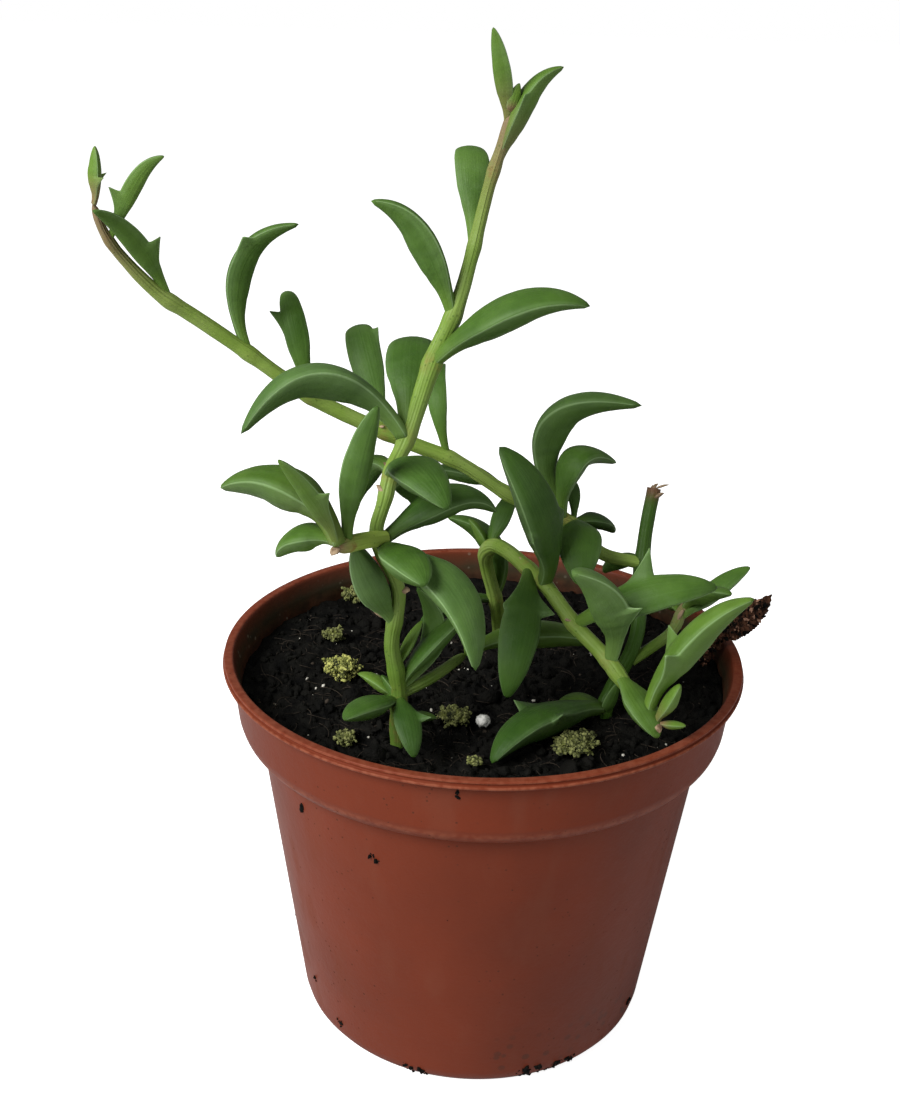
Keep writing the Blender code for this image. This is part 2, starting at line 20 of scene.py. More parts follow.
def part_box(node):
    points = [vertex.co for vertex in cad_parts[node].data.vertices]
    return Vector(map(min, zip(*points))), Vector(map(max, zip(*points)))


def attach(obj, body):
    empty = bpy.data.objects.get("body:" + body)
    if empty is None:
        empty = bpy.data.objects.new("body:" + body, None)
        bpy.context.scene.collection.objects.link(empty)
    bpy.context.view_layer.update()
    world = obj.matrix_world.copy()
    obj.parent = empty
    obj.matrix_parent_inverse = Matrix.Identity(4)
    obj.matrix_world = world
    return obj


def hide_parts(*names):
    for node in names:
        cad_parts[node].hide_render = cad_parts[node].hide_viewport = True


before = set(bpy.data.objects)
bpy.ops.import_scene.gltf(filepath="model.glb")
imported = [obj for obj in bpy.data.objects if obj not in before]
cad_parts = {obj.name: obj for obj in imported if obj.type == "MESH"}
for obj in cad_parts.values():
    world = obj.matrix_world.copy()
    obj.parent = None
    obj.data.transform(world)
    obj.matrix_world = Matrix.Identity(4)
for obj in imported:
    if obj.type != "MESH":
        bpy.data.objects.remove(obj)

MM = 0.001
TURN = 2 * math.pi
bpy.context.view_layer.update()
scene = bpy.context.scene
print("solids:", ", ".join(sorted(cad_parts)))

# %% [markdown]
# ## The camera
# The picture was taken by hand, from a little above and with the camera turned by a degree or two. A
# camera object could be aimed with a constraint, but an exact view is easier to state as a point that it
# looks at, a distance, a pitch and a roll. The lens follows from how much the pot's near rim is larger
# than its far rim.

# %% Place the camera
AIM = Vector((-5.86, 0, 82.18)) * MM
CAMERA_DISTANCE = 234.1 * MM
CAMERA_PITCH = math.radians(22.68)
CAMERA_ROLL = math.radians(1.53)
CAMERA_LENS = 47.53

looking = Vector((0, math.cos(CAMERA_PITCH), -math.sin(CAMERA_PITCH)))
camera = bpy.data.objects.new("camera", bpy.data.cameras.new("camera"))
camera.data.lens = CAMERA_LENS
camera.data.clip_start = 10 * MM
camera.location = AIM - looking * CAMERA_DISTANCE
camera.rotation_mode = "QUATERNION"
camera.rotation_quaternion = looking.to_track_quat("-Z", "Y") @ Quaternion((0, 0, 1), CAMERA_ROLL)
scene.collection.objects.link(camera)
scene.camera = camera
print("camera at", [round(value / MM, 1) for value in camera.location], "mm")

# %% [markdown]
# ## Writing node trees as sums
# Both Geometry Nodes and materials need long chains of Math nodes. Placing them one by one hides the
# formula, so this cell makes a small class whose sums, products and powers each add the node they need.
# The same class works in both kinds of tree, because they share their Math nodes.

# %% Helpers for node trees
def plug(tree, socket, value):
    """Feeds a socket with a field, or with a plain value. A colour may leave out its alpha."""
    if isinstance(value, Field):
        tree.links.new(value.socket, socket)
    elif socket.type == "RGBA" and len(value) == 3:
        socket.default_value = (*value, 1)
    else:
        socket.default_value = value


def shown(sockets):
    return [socket for socket in sockets if socket.enabled]


def add_node(tree, kind, **values):
    """The first output of a new node.

    Names with a small first letter are the node's settings. The others are its inputs, with an
    underscore for each space.
    """
    node = tree.nodes.new(kind)
    inputs = {name.replace("_", " "): values[name] for name in values if name[0].isupper()}
    for name in values:
        if name[0].islower():
            setattr(node, name, values[name])
    for label, value in inputs.items():
        plug(tree, next(socket for socket in shown(node.inputs) if socket.name == label), value)
    return Field(tree, shown(node.outputs)[0])


def is_vector(value):
    kind = value.socket.type if isinstance(value, Field) else ""
    return kind in ("VECTOR", "RGBA") or isinstance(value, (tuple, Vector))


def reckon(operation, *values):
    """One step of a sum, as a Math node or a Vector Math node."""
    tree = next(value.tree for value in values if isinstance(value, Field))
    vectors = [is_vector(value) for value in values]
    if operation == "MULTIPLY" and any(vectors) and not all(vectors):
        operation = "SCALE"
        values = sorted(values, key=is_vector, reverse=True)
    node = tree.nodes.new("ShaderNodeVectorMath" if any(vectors) else "ShaderNodeMath")
    node.operation = operation
    for socket, value in zip(shown(node.inputs), values):
        plug(tree, socket, value)
    return Field(tree, shown(node.outputs)[0])


class Field:
    """A number or a vector that varies over a shape."""

    def __init__(self, tree, socket):
        self.tree = tree
        self.socket = socket

    def __add__(self, other):
        return reckon("ADD", self, other)

    def __sub__(self, other):
        return reckon("SUBTRACT", self, other)

    def __rsub__(self, other):
        return reckon("SUBTRACT", other, self)

    def __mul__(self, other):
        return reckon("MULTIPLY", self, other)

    def __truediv__(self, other):
        return reckon("DIVIDE", self, other)

    def __pow__(self, other):
        return reckon("POWER", self, other)

    __radd__ = __add__

    def other(self, name):
        """Another output of the node that this one comes from."""
        return Field(self.tree, self.socket.node.outputs[name])

    def parts(self):
        """The X, Y and Z of a vector."""
        x = add_node(self.tree, "ShaderNodeSeparateXYZ", Vector=self)
        return [x.other(name) for name in "XYZ"]


def vector_of(tree, x, y, z):
    return add_node(tree, "ShaderNodeCombineXYZ", X=x, Y=y, Z=z)


def ease(value, low, high):
    """Runs smoothly from 0 to 1 as the value goes from low to high."""
    return add_node(
        value.tree, "ShaderNodeMapRange", interpolation_type="SMOOTHSTEP",
        Value=value, From_Min=low, From_Max=high,
    )


def held(value):
    """The value, kept between 0 and 1."""
    return reckon("MINIMUM", reckon("MAXIMUM", value, 0), 1)


def curve_of(value, points):
    """A smooth curve through (place, height) points, read at the value."""
    curved = add_node(value.tree, "ShaderNodeFloatCurve", Value=value)
    mapping = curved.socket.node.mapping
    mapping.clip_max_y = 2
    curve = mapping.curves[0]
    for place, height in points[1:-1]:
        curve.points.new(place, height)
    curve.points[0].location = points[0]
    curve.points[-1].location = points[-1]
    mapping.update()
    return curved


def cloudiness(where, scale, detail=3.0):
    """Soft noise, mostly between 0.3 and 0.7."""
    return add_node(where.tree, "ShaderNodeTexNoise", Vector=where, Scale=scale, Detail=detail)


def new_tree(family, name, inputs, outputs):
    """A tree with inputs, as (name, kind, value), and outputs, as (name, kind)."""
    tree = bpy.data.node_groups.new(name, family)
    for label, kind, value in inputs:
        socket = tree.interface.new_socket(label, in_out="INPUT", socket_type=f"NodeSocket{kind}")
        if value is not None:
            socket.default_value = value
    for label, kind in outputs:
        tree.interface.new_socket(label, in_out="OUTPUT", socket_type=f"NodeSocket{kind}")
    entry = tree.nodes.new("NodeGroupInput")
    return tree, {socket.name: Field(tree, socket) for socket in entry.outputs if socket.name}


def end_tree(tree, value):
    plug(tree, tree.nodes.new("NodeGroupOutput").inputs[0], value)


print("helpers ready")

# %% [markdown]
# ## Recipes
# A Geometry Nodes tree is a recipe: it has named inputs for its sizes, and it turns a simple seed mesh
# into the finished shape. The modifier knows each input only by an identifier, so the names are looked
# up first. The result is read back as a plain mesh and the modifier is taken off, so what is left is
# an ordinary object at the origin.

# %% Helpers for Geometry Nodes recipes
SIZE_KINDS = {int: "Int", float: "Float"}
WELD_REACH = 0.005 * MM


def new_recipe(name, sizes):
    """A tree with a geometry input and output, and an input for each named size."""
    inputs = [(label, SIZE_KINDS[type(value)], value) for label, value in sizes.items()]
    geometry = ("Geometry", "Geometry")
    return new_tree("GeometryNodeTree", name, [(*geometry, None)] + inputs, [geometry])


def end_recipe(tree, geometry, material):
    """Every recipe ends with real faces and their material."""
    real = add_node(tree, "GeometryNodeRealizeInstances", Geometry=geometry)
    painted = add_node(tree, "GeometryNodeSetMaterial", Geometry=real, Material=material)
    end_tree(tree, add_node(tree, "GeometryNodeSetShadeSmooth", Geometry=painted))


def show(name, data):
    """A new object at the origin."""
    item = bpy.data.objects.new(name, data)
    scene.collection.objects.link(item)
    return item


def make_plain(item):
    """Turns what the modifiers make into an ordinary mesh."""
    bpy.context.view_layer.update()
    graph = bpy.context.evaluated_depsgraph_get()
    item.data = bpy.data.meshes.new_from_object(item.evaluated_get(graph), depsgraph=graph)
    item.modifiers.clear()


def follow_recipe(name, seed_mesh, tree, sizes):
    """Runs a recipe on a seed mesh and returns an object with a plain mesh."""
    item = show(name, seed_mesh)
    modifier = item.modifiers.new("recipe", "NODES")
    modifier.node_group = tree
    inputs = [socket for socket in tree.interface.items_tree if socket.in_out == "INPUT"]
    identifiers = {socket.name: socket.identifier for socket in inputs}
    for label, value in sizes.items():
        modifier[identifiers[label]] = value
    make_plain(item)
    return item


def attribute(tree, name, vector=False):
    """A value that was stored on the seed mesh under this name."""
    kind = "FLOAT_VECTOR" if vector else "FLOAT"
    return add_node(tree, "GeometryNodeInputNamedAttribute", data_type=kind, Name=name)


def store(tree, geometry, name, value, domain="POINT"):
    """Writes a value on each point, or on each instance, under a name that the finish reads."""
    return add_node(
        tree, "GeometryNodeStoreNamedAttribute", domain=domain,
        data_type="FLOAT_VECTOR" if is_vector(value) else "FLOAT",
        Geometry=geometry, Name=name, Value=value,
    )


def seed_mesh(name, points, edges, values):
    """A mesh of loose points or edges that carries one named value, or vector, for each point."""
    mesh = bpy.data.meshes.new(name)
    mesh.from_pydata(points, edges, [])
    for label, rows in values.items():
        vector = not isinstance(rows[0], (int, float))
        kind = "FLOAT_VECTOR" if vector else "FLOAT"
        layer = mesh.attributes.new(label, kind, "POINT")
        flat = np.array([tuple(row) for row in rows] if vector else rows, dtype=float).ravel()
        layer.data.foreach_set("vector" if vector else "value", flat)
    return mesh


def mesh_of(name, bm):
    """A mesh from the points and faces that a cell has put together."""
    mesh = bpy.data.meshes.new(name)
    bm.to_mesh(mesh)
    bm.free()
    return mesh


print("recipe helpers ready")

# %% [markdown]
# ## Effects that several finishes share
# Plastic, skin, peat and bark all have uneven colour, fine relief and dirt. Each effect is made once as
# a shader node group, a node of one's own with named inputs. Such a group gives out only colours, masks
# and heights, and each material decides where they go.

# %% Shader groups: uneven colour, fine relief, specks
def blend(share, first, second):
    """A colour between two: the first at share 0, the second at share 1."""
    return add_node(share.tree, "ShaderNodeMix", data_type="RGBA", Factor=share, A=first, B=second)


def layered(colour, *layers):
    """Lays colours over the first one. A layer is its share and its colour."""
    for share, other in layers:
        colour = blend(share, colour, other)
    return colour


GREY = (0.5, 0.5, 0.5, 1)
HERE = ("Place", "Vector", (0, 0, 0))

uneven, given = new_tree(
    "ShaderNodeTree", "uneven colour",
    (("Colour", "Color", GREY), ("Other Colour", "Color", GREY), HERE, ("Scale", "Float", 100),
     ("Contrast", "Float", 0.2)),
    [("Colour", "Color")],
)
clouds = cloudiness(given["Place"], given["Scale"])
share = ease(clouds, 0.5 - given["Contrast"], 0.5 + given["Contrast"])
end_tree(uneven, blend(share, given["Colour"], given["Other Colour"]))

relief, given = new_tree(
    "ShaderNodeTree", "fine relief",
    (HERE, ("Coarse Scale", "Float", 400), ("Fine Scale", "Float", 2000), ("Fine Share", "Float", 0.3)),
    [("Height", "Float")],
)
coarse = cloudiness(given["Place"], given["Coarse Scale"])
fine = cloudiness(given["Place"], given["Fine Scale"])
end_tree(relief, coarse + fine * given["Fine Share"])

specks, given = new_tree(
    "ShaderNodeTree", "specks",
    (HERE, ("Scale", "Float", 500), ("Size", "Float", 0.2), ("Clumping", "Float", 60)),
    [("Mask", "Float")],
)
cells = add_node(
    specks, "ShaderNodeTexVoronoi", Vector=given["Place"], Scale=given["Scale"], Randomness=1,
)
dots = 1 - ease(cells, given["Size"] * 0.6, given["Size"])
end_tree(specks, dots * ease(cloudiness(given["Place"], given["Clumping"]), 0.5, 0.62))


def effect(tree, group, **values):
    """Places a shader group in a material."""
    return add_node(tree, "ShaderNodeGroup", node_tree=group, **values)


def new_finish(name, **constants):
    """A material with its shader, its tree and the place on the object, in metres."""
    material = bpy.data.materials.new(name)
    material.use_nodes = True
    tree = material.node_tree
    shader = tree.nodes["Principled BSDF"]
    for label, value in constants.items():
        shader.inputs[label.replace("_", " ")].default_value = value
    return material, tree, shader, add_node(tree, "ShaderNodeTexCoord").other("Object")


def end_finish(shader, colour, roughness, height, depth):
    """Feeds the shader. The height, between 0 and 1, is relief too fine to model, and depth its size."""
    tree = height.tree
    bump = add_node(tree, "ShaderNodeBump", Height=height, Distance=depth)
    for label, value in (("Base Color", colour), ("Roughness", roughness), ("Normal", bump)):
        plug(tree, shader.inputs[label], value)


def stored(tree, name, vector=False):
    """A value that the mesh carries under this name."""
    found = add_node(tree, "ShaderNodeAttribute", attribute_name=name)
    return found.other("Vector" if vector else "Fac")


print("effects:", uneven.name, "/", relief.name, "/", specks.name)

# %% [markdown]
# ## Leaf skin
# The leaves are water stores with a waxy skin. The back is dark green, the flanks below are lighter and
# a little blue, and a thin pale line runs along both edges and the fins, where the flesh is thin enough
# for light to pass. Young growth and leaf roots are yellower, leaves deep in the plant are darkened
# with painted shade, and some have a grey bloom of wax. The leaf recipe further down stores where each
# point lies round and along its leaf, so the colours can follow the form.

# %% The leaf's skin
LEAF_BACK = (0.033, 0.084, 0.007)
LEAF_FLANK = (0.060, 0.123, 0.020)
LEAF_YOUNG = (0.125, 0.215, 0.026)
# Darkest green: random darker patches, and painted shade on leaves deep in the plant.
LEAF_DARK_AND_SHADE = (0.008, 0.028, 0.004)
LEAF_EDGE = (0.220, 0.330, 0.150)
LEAF_VEIN = (0.080, 0.155, 0.035)
LEAF_BLOOM = (0.118, 0.188, 0.085)
LEAF_BLUSH = (0.170, 0.110, 0.055)
FLESH = {"Subsurface_Scale": 0.8 * MM, "Subsurface_Radius": (0.6, 1.0, 0.25), "Specular_IOR_Level": 0.12}


def make_leaf_skin():
    material, tree, shader, place = new_finish("leaf skin", Subsurface_Weight=0.10, **FLESH)
    skin = stored(tree, "skin", vector=True)
    across, above, along = skin.parts()
    youth, tint, tone, blush = [stored(tree, name) for name in ("youth", "tint", "tone", "blush")]
    shifted = skin + vector_of(tree, tint * 7, tint * 3, tint * 5)
    veins = cloudiness(shifted * (7, 7, 0.8), 1, 2)
    patches = ease(cloudiness(place, 300, 2), 0.40, 0.64)
    bloom = ease(cloudiness(place, 420, 4), 0.50, 0.75)
    outer = reckon("ABSOLUTE", across)
    rim = ease(outer, 0.985, 1.0) * (tone * 0.3 + 0.5) + ease(outer, 0.75, 1.0) * 0.12
    ground = layered(
        LEAF_FLANK, (ease(above, -0.45, 0.25), LEAF_BACK), (ease(tint, -0.5, 2.5), LEAF_FLANK),
    )
    clouded = effect(
        tree, uneven, Colour=ground, Other_Colour=blend(youth, LEAF_FLANK, LEAF_YOUNG), Place=place,
        Scale=140, Contrast=0.30,
    )
    # Leaves whose shade and bloom value is below 0 get the darkest green as painted shade; above 0 they get
    # bloom.
    colour = layered(
        clouded,
        (patches * 0.22, LEAF_DARK_AND_SHADE),
        (ease(veins, 0.52, 0.72) * 0.24, LEAF_VEIN),
        ((1 - ease(along, 0.0, 0.34)) * 0.55, LEAF_YOUNG),
        (youth * 0.7, LEAF_YOUNG),
        (held(bloom * 0.12 + held(tone) * 0.7), LEAF_BLOOM),
        (held(tone * -0.85), LEAF_DARK_AND_SHADE),
        (held(blush * (1 - ease(along, 0.05, 0.65))), LEAF_BLUSH),
        (rim, LEAF_EDGE),
    )
    height = effect(tree, relief, Place=place, Coarse_Scale=900, Fine_Scale=3200, Fine_Share=0.3)
    end_finish(shader, colour, bloom * 0.12 + 0.50, height + veins * 0.8, 0.09 * MM)
    return material


leaf_skin = make_leaf_skin()
print("made", leaf_skin.name)

# %% [markdown]
# ## Stem skin
# The stems are yellow-green and a little ribbed, darker where they are old and near the soil, with a
# brown scar here and there where a leaf sits or has fallen. Fine ridges run along them. The growing tips
# are flushed purple brown, and one stem ends where it was broken off and has dried. The old colour is
# partly painted shade, most of all on the broken stem, and the rosette shoot's young colour is paler
# still with painted light, where it lies in the leaves' shade. The stem recipe carries these marks, and
# the place round and along the tube, to the skin.

# %% The stems' skin
STEM_GREEN = (0.118, 0.200, 0.026)
STEM_PALE = (0.170, 0.250, 0.055)
# Young pale green, made paler still as painted light, most on the rosette shoot under the leaves.
STEM_NEW_AND_LIT = (0.270, 0.370, 0.065)
# Old dark green, made darker still as painted shade, most on the broken stem.
STEM_OLD_AND_SHADED = (0.022, 0.062, 0.006)
STEM_SCAR = (0.200, 0.095, 0.035)
STEM_FLUSH = (0.190, 0.112, 0.078)
STEM_DRY = (0.110, 0.055, 0.030)


def make_stem_skin():
    material, tree, shader, place = new_finish("stem skin", Subsurface_Weight=0.08, **FLESH)
    scar, age, flush, dry = [stored(tree, name) for name in ("scar", "age", "flush", "dry")]
    scarred = scar * ease(cloudiness(place, 700), 0.42, 0.62)
    dots = effect(tree, specks, Place=place, Scale=1500, Size=0.28, Clumping=300)
    ground = effect(
        tree, uneven, Colour=STEM_GREEN, Other_Colour=STEM_PALE, Place=place, Scale=160, Contrast=0.22,
    )
    # Age above 0 lays on the old colour with painted shade, and below 0 the young colour with painted
    # light.
    colour = layered(
        ground, (held(age * 0.8), STEM_OLD_AND_SHADED), (held(age * -1), STEM_NEW_AND_LIT), (flush * 0.85, STEM_FLUSH),
        (dry, STEM_DRY), (scarred * 0.7, STEM_SCAR), (dots * 0.5, STEM_OLD_AND_SHADED),
    )
    height = effect(tree, relief, Place=place, Coarse_Scale=700, Fine_Scale=2600, Fine_Share=0.4)
    ridges = cloudiness(stored(tree, "around", vector=True) * 2.6 + place * 30, 1, 1)
    end_finish(shader, colour, scarred * 0.3 + 0.42, height * 0.5 + ridges * 2, 0.16 * MM)
    return material


stem_skin = make_stem_skin()
print("made", stem_skin.name)

# %% [markdown]
# ## Terracotta-coloured plastic
# The pot is thin moulded polypropylene. It is satin rather than glossy, slightly cloudy in colour, a bit
# paler on the lip and the collar's step, where it is rubbed and where a highlight is painted, and it
# carries dried splashes of soil near its foot and in small specks. Inside, above the soil, its wall is
# darkened with soil and painted shade.

# %% The pot's plastic
PLASTIC_RED = (0.140, 0.0262, 0.0108)
PLASTIC_DULL = (0.112, 0.0226, 0.0102)
# Paler plastic for wear and a painted highlight on the lip's ring and bead and the collar's step.
PLASTIC_RUBBED_AND_LIT = (0.260, 0.085, 0.046)
PLASTIC_DUST = (0.150, 0.055, 0.034)
DIRT_BROWN = (0.030, 0.018, 0.012)
# The inner wall's dark colours, soil and painted shade together, darkest near the soil.
PLASTIC_SOILED_AND_SHADED = (0.030, 0.024, 0.013)
PEAT_SMEAR_AND_SHADE = (0.008, 0.007, 0.005)
# Pale flecks scattered on the inner wall.
PALE_FLECK_COLOUR = (0.220, 0.190, 0.140)


def make_pot_plastic():
    material, tree, shader, place = new_finish("terracotta plastic", Specular_IOR_Level=0.07)
    height_up = place.parts()[2]
    inside = stored(tree, "inside")
    smears = ease(cloudiness(place * (1, 1, 0.35), 160, 5), 0.52, 0.72)
    # The rubbed mask is wear and a painted highlight.
    worn_and_lit = stored(tree, "rubbed_and_lit") * ease(cloudiness(place, 900, 4), 0.30, 0.65)
    low = 1 - ease(height_up, 1 * MM, 16 * MM)
    # Soil and painted shade on the inner wall, darker still near the soil.
    soiled_and_shaded_share = ease(cloudiness(place, 220, 4), 0.30, 0.62) * 0.20 + 0.78
    smeared_and_shaded = 1 - ease(height_up + cloudiness(place, 500, 5) * (5 * MM), 62.3 * MM, 64.5 * MM)
    dots, splashes, pale_flecks = [
        effect(tree, specks, Place=place, Scale=scale, Size=size, Clumping=clumping)
        for scale, size, clumping in ((700, 0.16, 70), (420, 0.34, 45), (620, 0.22, 120))
    ]
    ground = effect(
        tree, uneven, Colour=PLASTIC_RED, Other_Colour=PLASTIC_DULL, Place=place, Scale=45, Contrast=0.25,
    )
    colour = layered(
        ground, (smears * 0.20, PLASTIC_DUST), (worn_and_lit * 0.55, PLASTIC_RUBBED_AND_LIT), (dots * 0.55, DIRT_BROWN),
        (splashes * low * 0.75, DIRT_BROWN), (inside * soiled_and_shaded_share, PLASTIC_SOILED_AND_SHADED),
        (inside * smeared_and_shaded * 0.85, PEAT_SMEAR_AND_SHADE), (inside * pale_flecks * 0.8, PALE_FLECK_COLOUR),
    )
    bumps = effect(tree, relief, Place=place, Coarse_Scale=260, Fine_Scale=1800, Fine_Share=0.25)
    end_finish(shader, colour, smears * 0.14 + dots * 0.3 + 0.40, bumps, 0.10 * MM)
    return material


pot_plastic = make_pot_plastic()
print("made", pot_plastic.name)

# %% [markdown]
# ## Peat, and what lies in it
# Wet peat is nearly black. What keeps it from being a black hole is its crumbs and fibres, a slight wet
# gloss, and pale specks of perlite and root. The same finish, with other colours, serves the grains.

# %% Peat, fibres, pale specks, moss and bark
PEAT_BLACK = (0.0010, 0.0010, 0.0008)
PEAT_BROWN = (0.0052, 0.0049, 0.0038)


def make_grainy(name, dark, light, scale, roughness, depth, specular=0.3):
    """A rough mineral or plant crumb whose colour wanders between two values."""
    material, tree, shader, place = new_finish(name, Specular_IOR_Level=specular)
    ground = effect(
        tree, uneven, Colour=dark, Other_Colour=light, Place=place, Scale=scale, Contrast=0.16,
    )
    colour = blend(stored(tree, "tint") * 0.6, ground, light)
    height = effect(tree, relief, Place=place, Coarse_Scale=scale * 3, Fine_Scale=scale * 9, Fine_Share=0.5)
    end_finish(shader, colour, height * 0.2 + roughness, height, depth)
    return material


peat = make_grainy("peat", PEAT_BLACK, PEAT_BROWN, 350, 0.66, 0.5 * MM, 0.07)
fibre = make_grainy("peat fibre", (0.008, 0.006, 0.004), (0.040, 0.031, 0.023), 900, 0.7, 0.1 * MM, 0.1)
pale_grain = make_grainy("pale grain", (0.16, 0.15, 0.12), (0.55, 0.53, 0.46), 900, 0.7, 0.1 * MM)
moss_core = make_grainy("moss core", (0.014, 0.018, 0.004), (0.130, 0.145, 0.030), 900, 0.75, 0.3 * MM)
moss_pale = make_grainy("pale moss", (0.070, 0.085, 0.012), (0.430, 0.430, 0.120), 1300, 0.7, 0.1 * MM)
moss_dull = make_grainy("dull moss", (0.022, 0.028, 0.006), (0.190, 0.200, 0.065), 1300, 0.7, 0.1 * MM)
perlite = make_grainy("perlite", (0.42, 0.42, 0.38), (0.74, 0.73, 0.68), 1400, 0.75, 0.2 * MM)
bark = make_grainy("bark", (0.007, 0.004, 0.003), (0.120, 0.050, 0.026), 1100, 0.72, 0.5 * MM, 0.15)
bark_chips = make_grainy("bark chips", (0.030, 0.014, 0.008), (0.420, 0.230, 0.150), 700, 0.72, 0.2 * MM)
dried_skin = make_grainy("dried skin", (0.080, 0.045, 0.022), (0.340, 0.245, 0.150), 900, 0.6, 0.1 * MM)
print("grainy finishes made")

# %% [markdown]
# ## The pot
# A nursery pot is a thin cup with a deep collar. Its lip is a flat ring whose face has a fine recess
# above a bead, and the collar drops to a step above the tapering body. All of it is turned, so one
# outline is enough. Each corner of the outline is rounded by its own amount, as injection moulding
# leaves it, and the outline is then spun round the axis in 160 steps.

# %% Turn the pot
POT_HEIGHT = 65.5 * MM
RIM_RADIUS = 42.5 * MM
BASE_RADIUS = 29.5 * MM
NECK_RADIUS = 36.8 * MM
COLLAR_DEPTH = 12.3 * MM
COLLAR_TAPER = 1.3 * MM
LIP_OVERHANG = 1.3 * MM
LIP_DEPTH = 1.4 * MM
POT_WALL = 1.0 * MM
LIP_WALL = 0.55 * MM
WALL_THINS = 62.5 * MM
POT_STEPS = 160
DRAIN_COUNT = 8
DRAIN_RADIUS = 2.5 * MM
DRAIN_CIRCLE = 19 * MM
DRILL_LENGTH = 6 * MM
SOILED_AND_SHADED_DEPTH = 1.6 * MM
SHARP_ANGLE = math.radians(50)


def collar_radius(height):
    """Outer radius of the collar, which narrows from the lip to the step."""
    return RIM_RADIUS - LIP_OVERHANG - COLLAR_TAPER * (POT_HEIGHT - height) / COLLAR_DEPTH


def body_radius(height):
    """Outer radius of the body under the collar."""
    return BASE_RADIUS + (NECK_RADIUS - BASE_RADIUS) * height / (POT_HEIGHT - COLLAR_DEPTH)


def rounded(outline, steps=4):
    """Rounds each corner of an outline of (radius, height, rounding) rows, as far as its sides allow."""
    points = [Vector(row[:2]) for row in outline]
    path = [points[0]]
    for before, corner, after, row in zip(points, points[1:], points[2:], outline[1:]):
        reach = min(row[2], (corner - before).length * 0.49, (after - corner).length * 0.49)
        start = corner + (before - corner).normalized() * reach
        end = corner + (after - corner).normalized() * reach
        for i in range(steps + 1):
            t = i / steps
            path.append(start * (1 - t) ** 2 + corner * (2 * t * (1 - t)) + end * t**2)
    return path + [points[-1]]


def pot_outline():
    """Rows of radius, height and rounding, from the middle of the floor, over the lip, to the foot."""
    step = POT_HEIGHT - COLLAR_DEPTH
    inner = collar_radius(POT_HEIGHT) - LIP_WALL
    recess = RIM_RADIUS - 0.42 * MM
    under = POT_HEIGHT - LIP_DEPTH
    fine = 0.25 * MM
    return (
        (0, POT_WALL, 0),
        (body_radius(POT_WALL) - 2.4 * MM, POT_WALL, 2 * MM),
        (NECK_RADIUS - POT_WALL, step + 0.6 * MM, fine),
        (collar_radius(step) - POT_WALL, step + 1.8 * MM, fine),
        (collar_radius(WALL_THINS) - POT_WALL, WALL_THINS, fine),
        (inner, POT_HEIGHT - 0.4 * MM, fine),
        (inner + 0.3 * MM, POT_HEIGHT, fine),
        (RIM_RADIUS - 0.25 * MM, POT_HEIGHT, 0.2 * MM),
        (RIM_RADIUS - 0.2 * MM, POT_HEIGHT - 0.35 * MM, 0.1 * MM),
        (recess, POT_HEIGHT - 0.5 * MM, 0.08 * MM),
        (recess, POT_HEIGHT - 0.82 * MM, 0.08 * MM),
        (RIM_RADIUS, POT_HEIGHT - 0.92 * MM, 0.12 * MM),
        (RIM_RADIUS, POT_HEIGHT - 1.22 * MM, 0.12 * MM),
        (RIM_RADIUS - 0.2 * MM, under, 0.1 * MM),
        (collar_radius(under) + 0.1 * MM, under + 0.1 * MM, 0.15 * MM),
        (collar_radius(step + 2.6 * MM), step + 2.6 * MM, fine),
        (collar_radius(step) - 0.15 * MM, step + 1.2 * MM, 0.5 * MM),
        (collar_radius(step) - 1.1 * MM, step, fine),
        (NECK_RADIUS + 0.05 * MM, step - 0.05 * MM, fine),
        (body_radius(0) + 0.1 * MM, 0, 3.2 * MM),
        (0, 0, 0),
    )


def turn(name, path, steps):
    """A closed solid of revolution from a path that starts and ends on the axis."""
    points = [(0, 0, path[0].y), (0, 0, path[-1].y)]
    for row in path[1:-1]:
        angles = [TURN * k / steps for k in range(steps)]
        points += [(row.x * math.cos(angle), row.x * math.sin(angle), row.y) for angle in angles]
    faces = []
    for k in range(steps):
        after = (k + 1) % steps
        firsts = range(2, len(points) - steps, steps)
        faces.append((0, 2 + k, 2 + after))
        faces += [(a + k, a + steps + k, a + steps + after, a + after) for a in firsts]
        faces.append((len(points) - steps + k, 1, len(points) - steps + after))
    mesh = bpy.data.meshes.new(name)
    mesh.from_pydata(points, [], faces)
    return mesh


def drill(item, circle, radius, count):
    """Cuts a ring of upright round holes through the floor of a pot."""
    bm = bmesh.new()
    for i in range(count):
        angle = TURN * i / count
        place = Matrix.Translation((circle * math.cos(angle), circle * math.sin(angle), 0))
        bmesh.ops.create_cone(
            bm, cap_ends=True, segments=32, radius1=radius, radius2=radius, depth=DRILL_LENGTH,
            matrix=place,
        )
    drills = show("drills", mesh_of("drills", bm))
    cut = item.modifiers.new("holes", "BOOLEAN")
    cut.object = drills
    cut.solver = "EXACT"
    make_plain(item)
    bpy.data.objects.remove(drills, do_unlink=True)


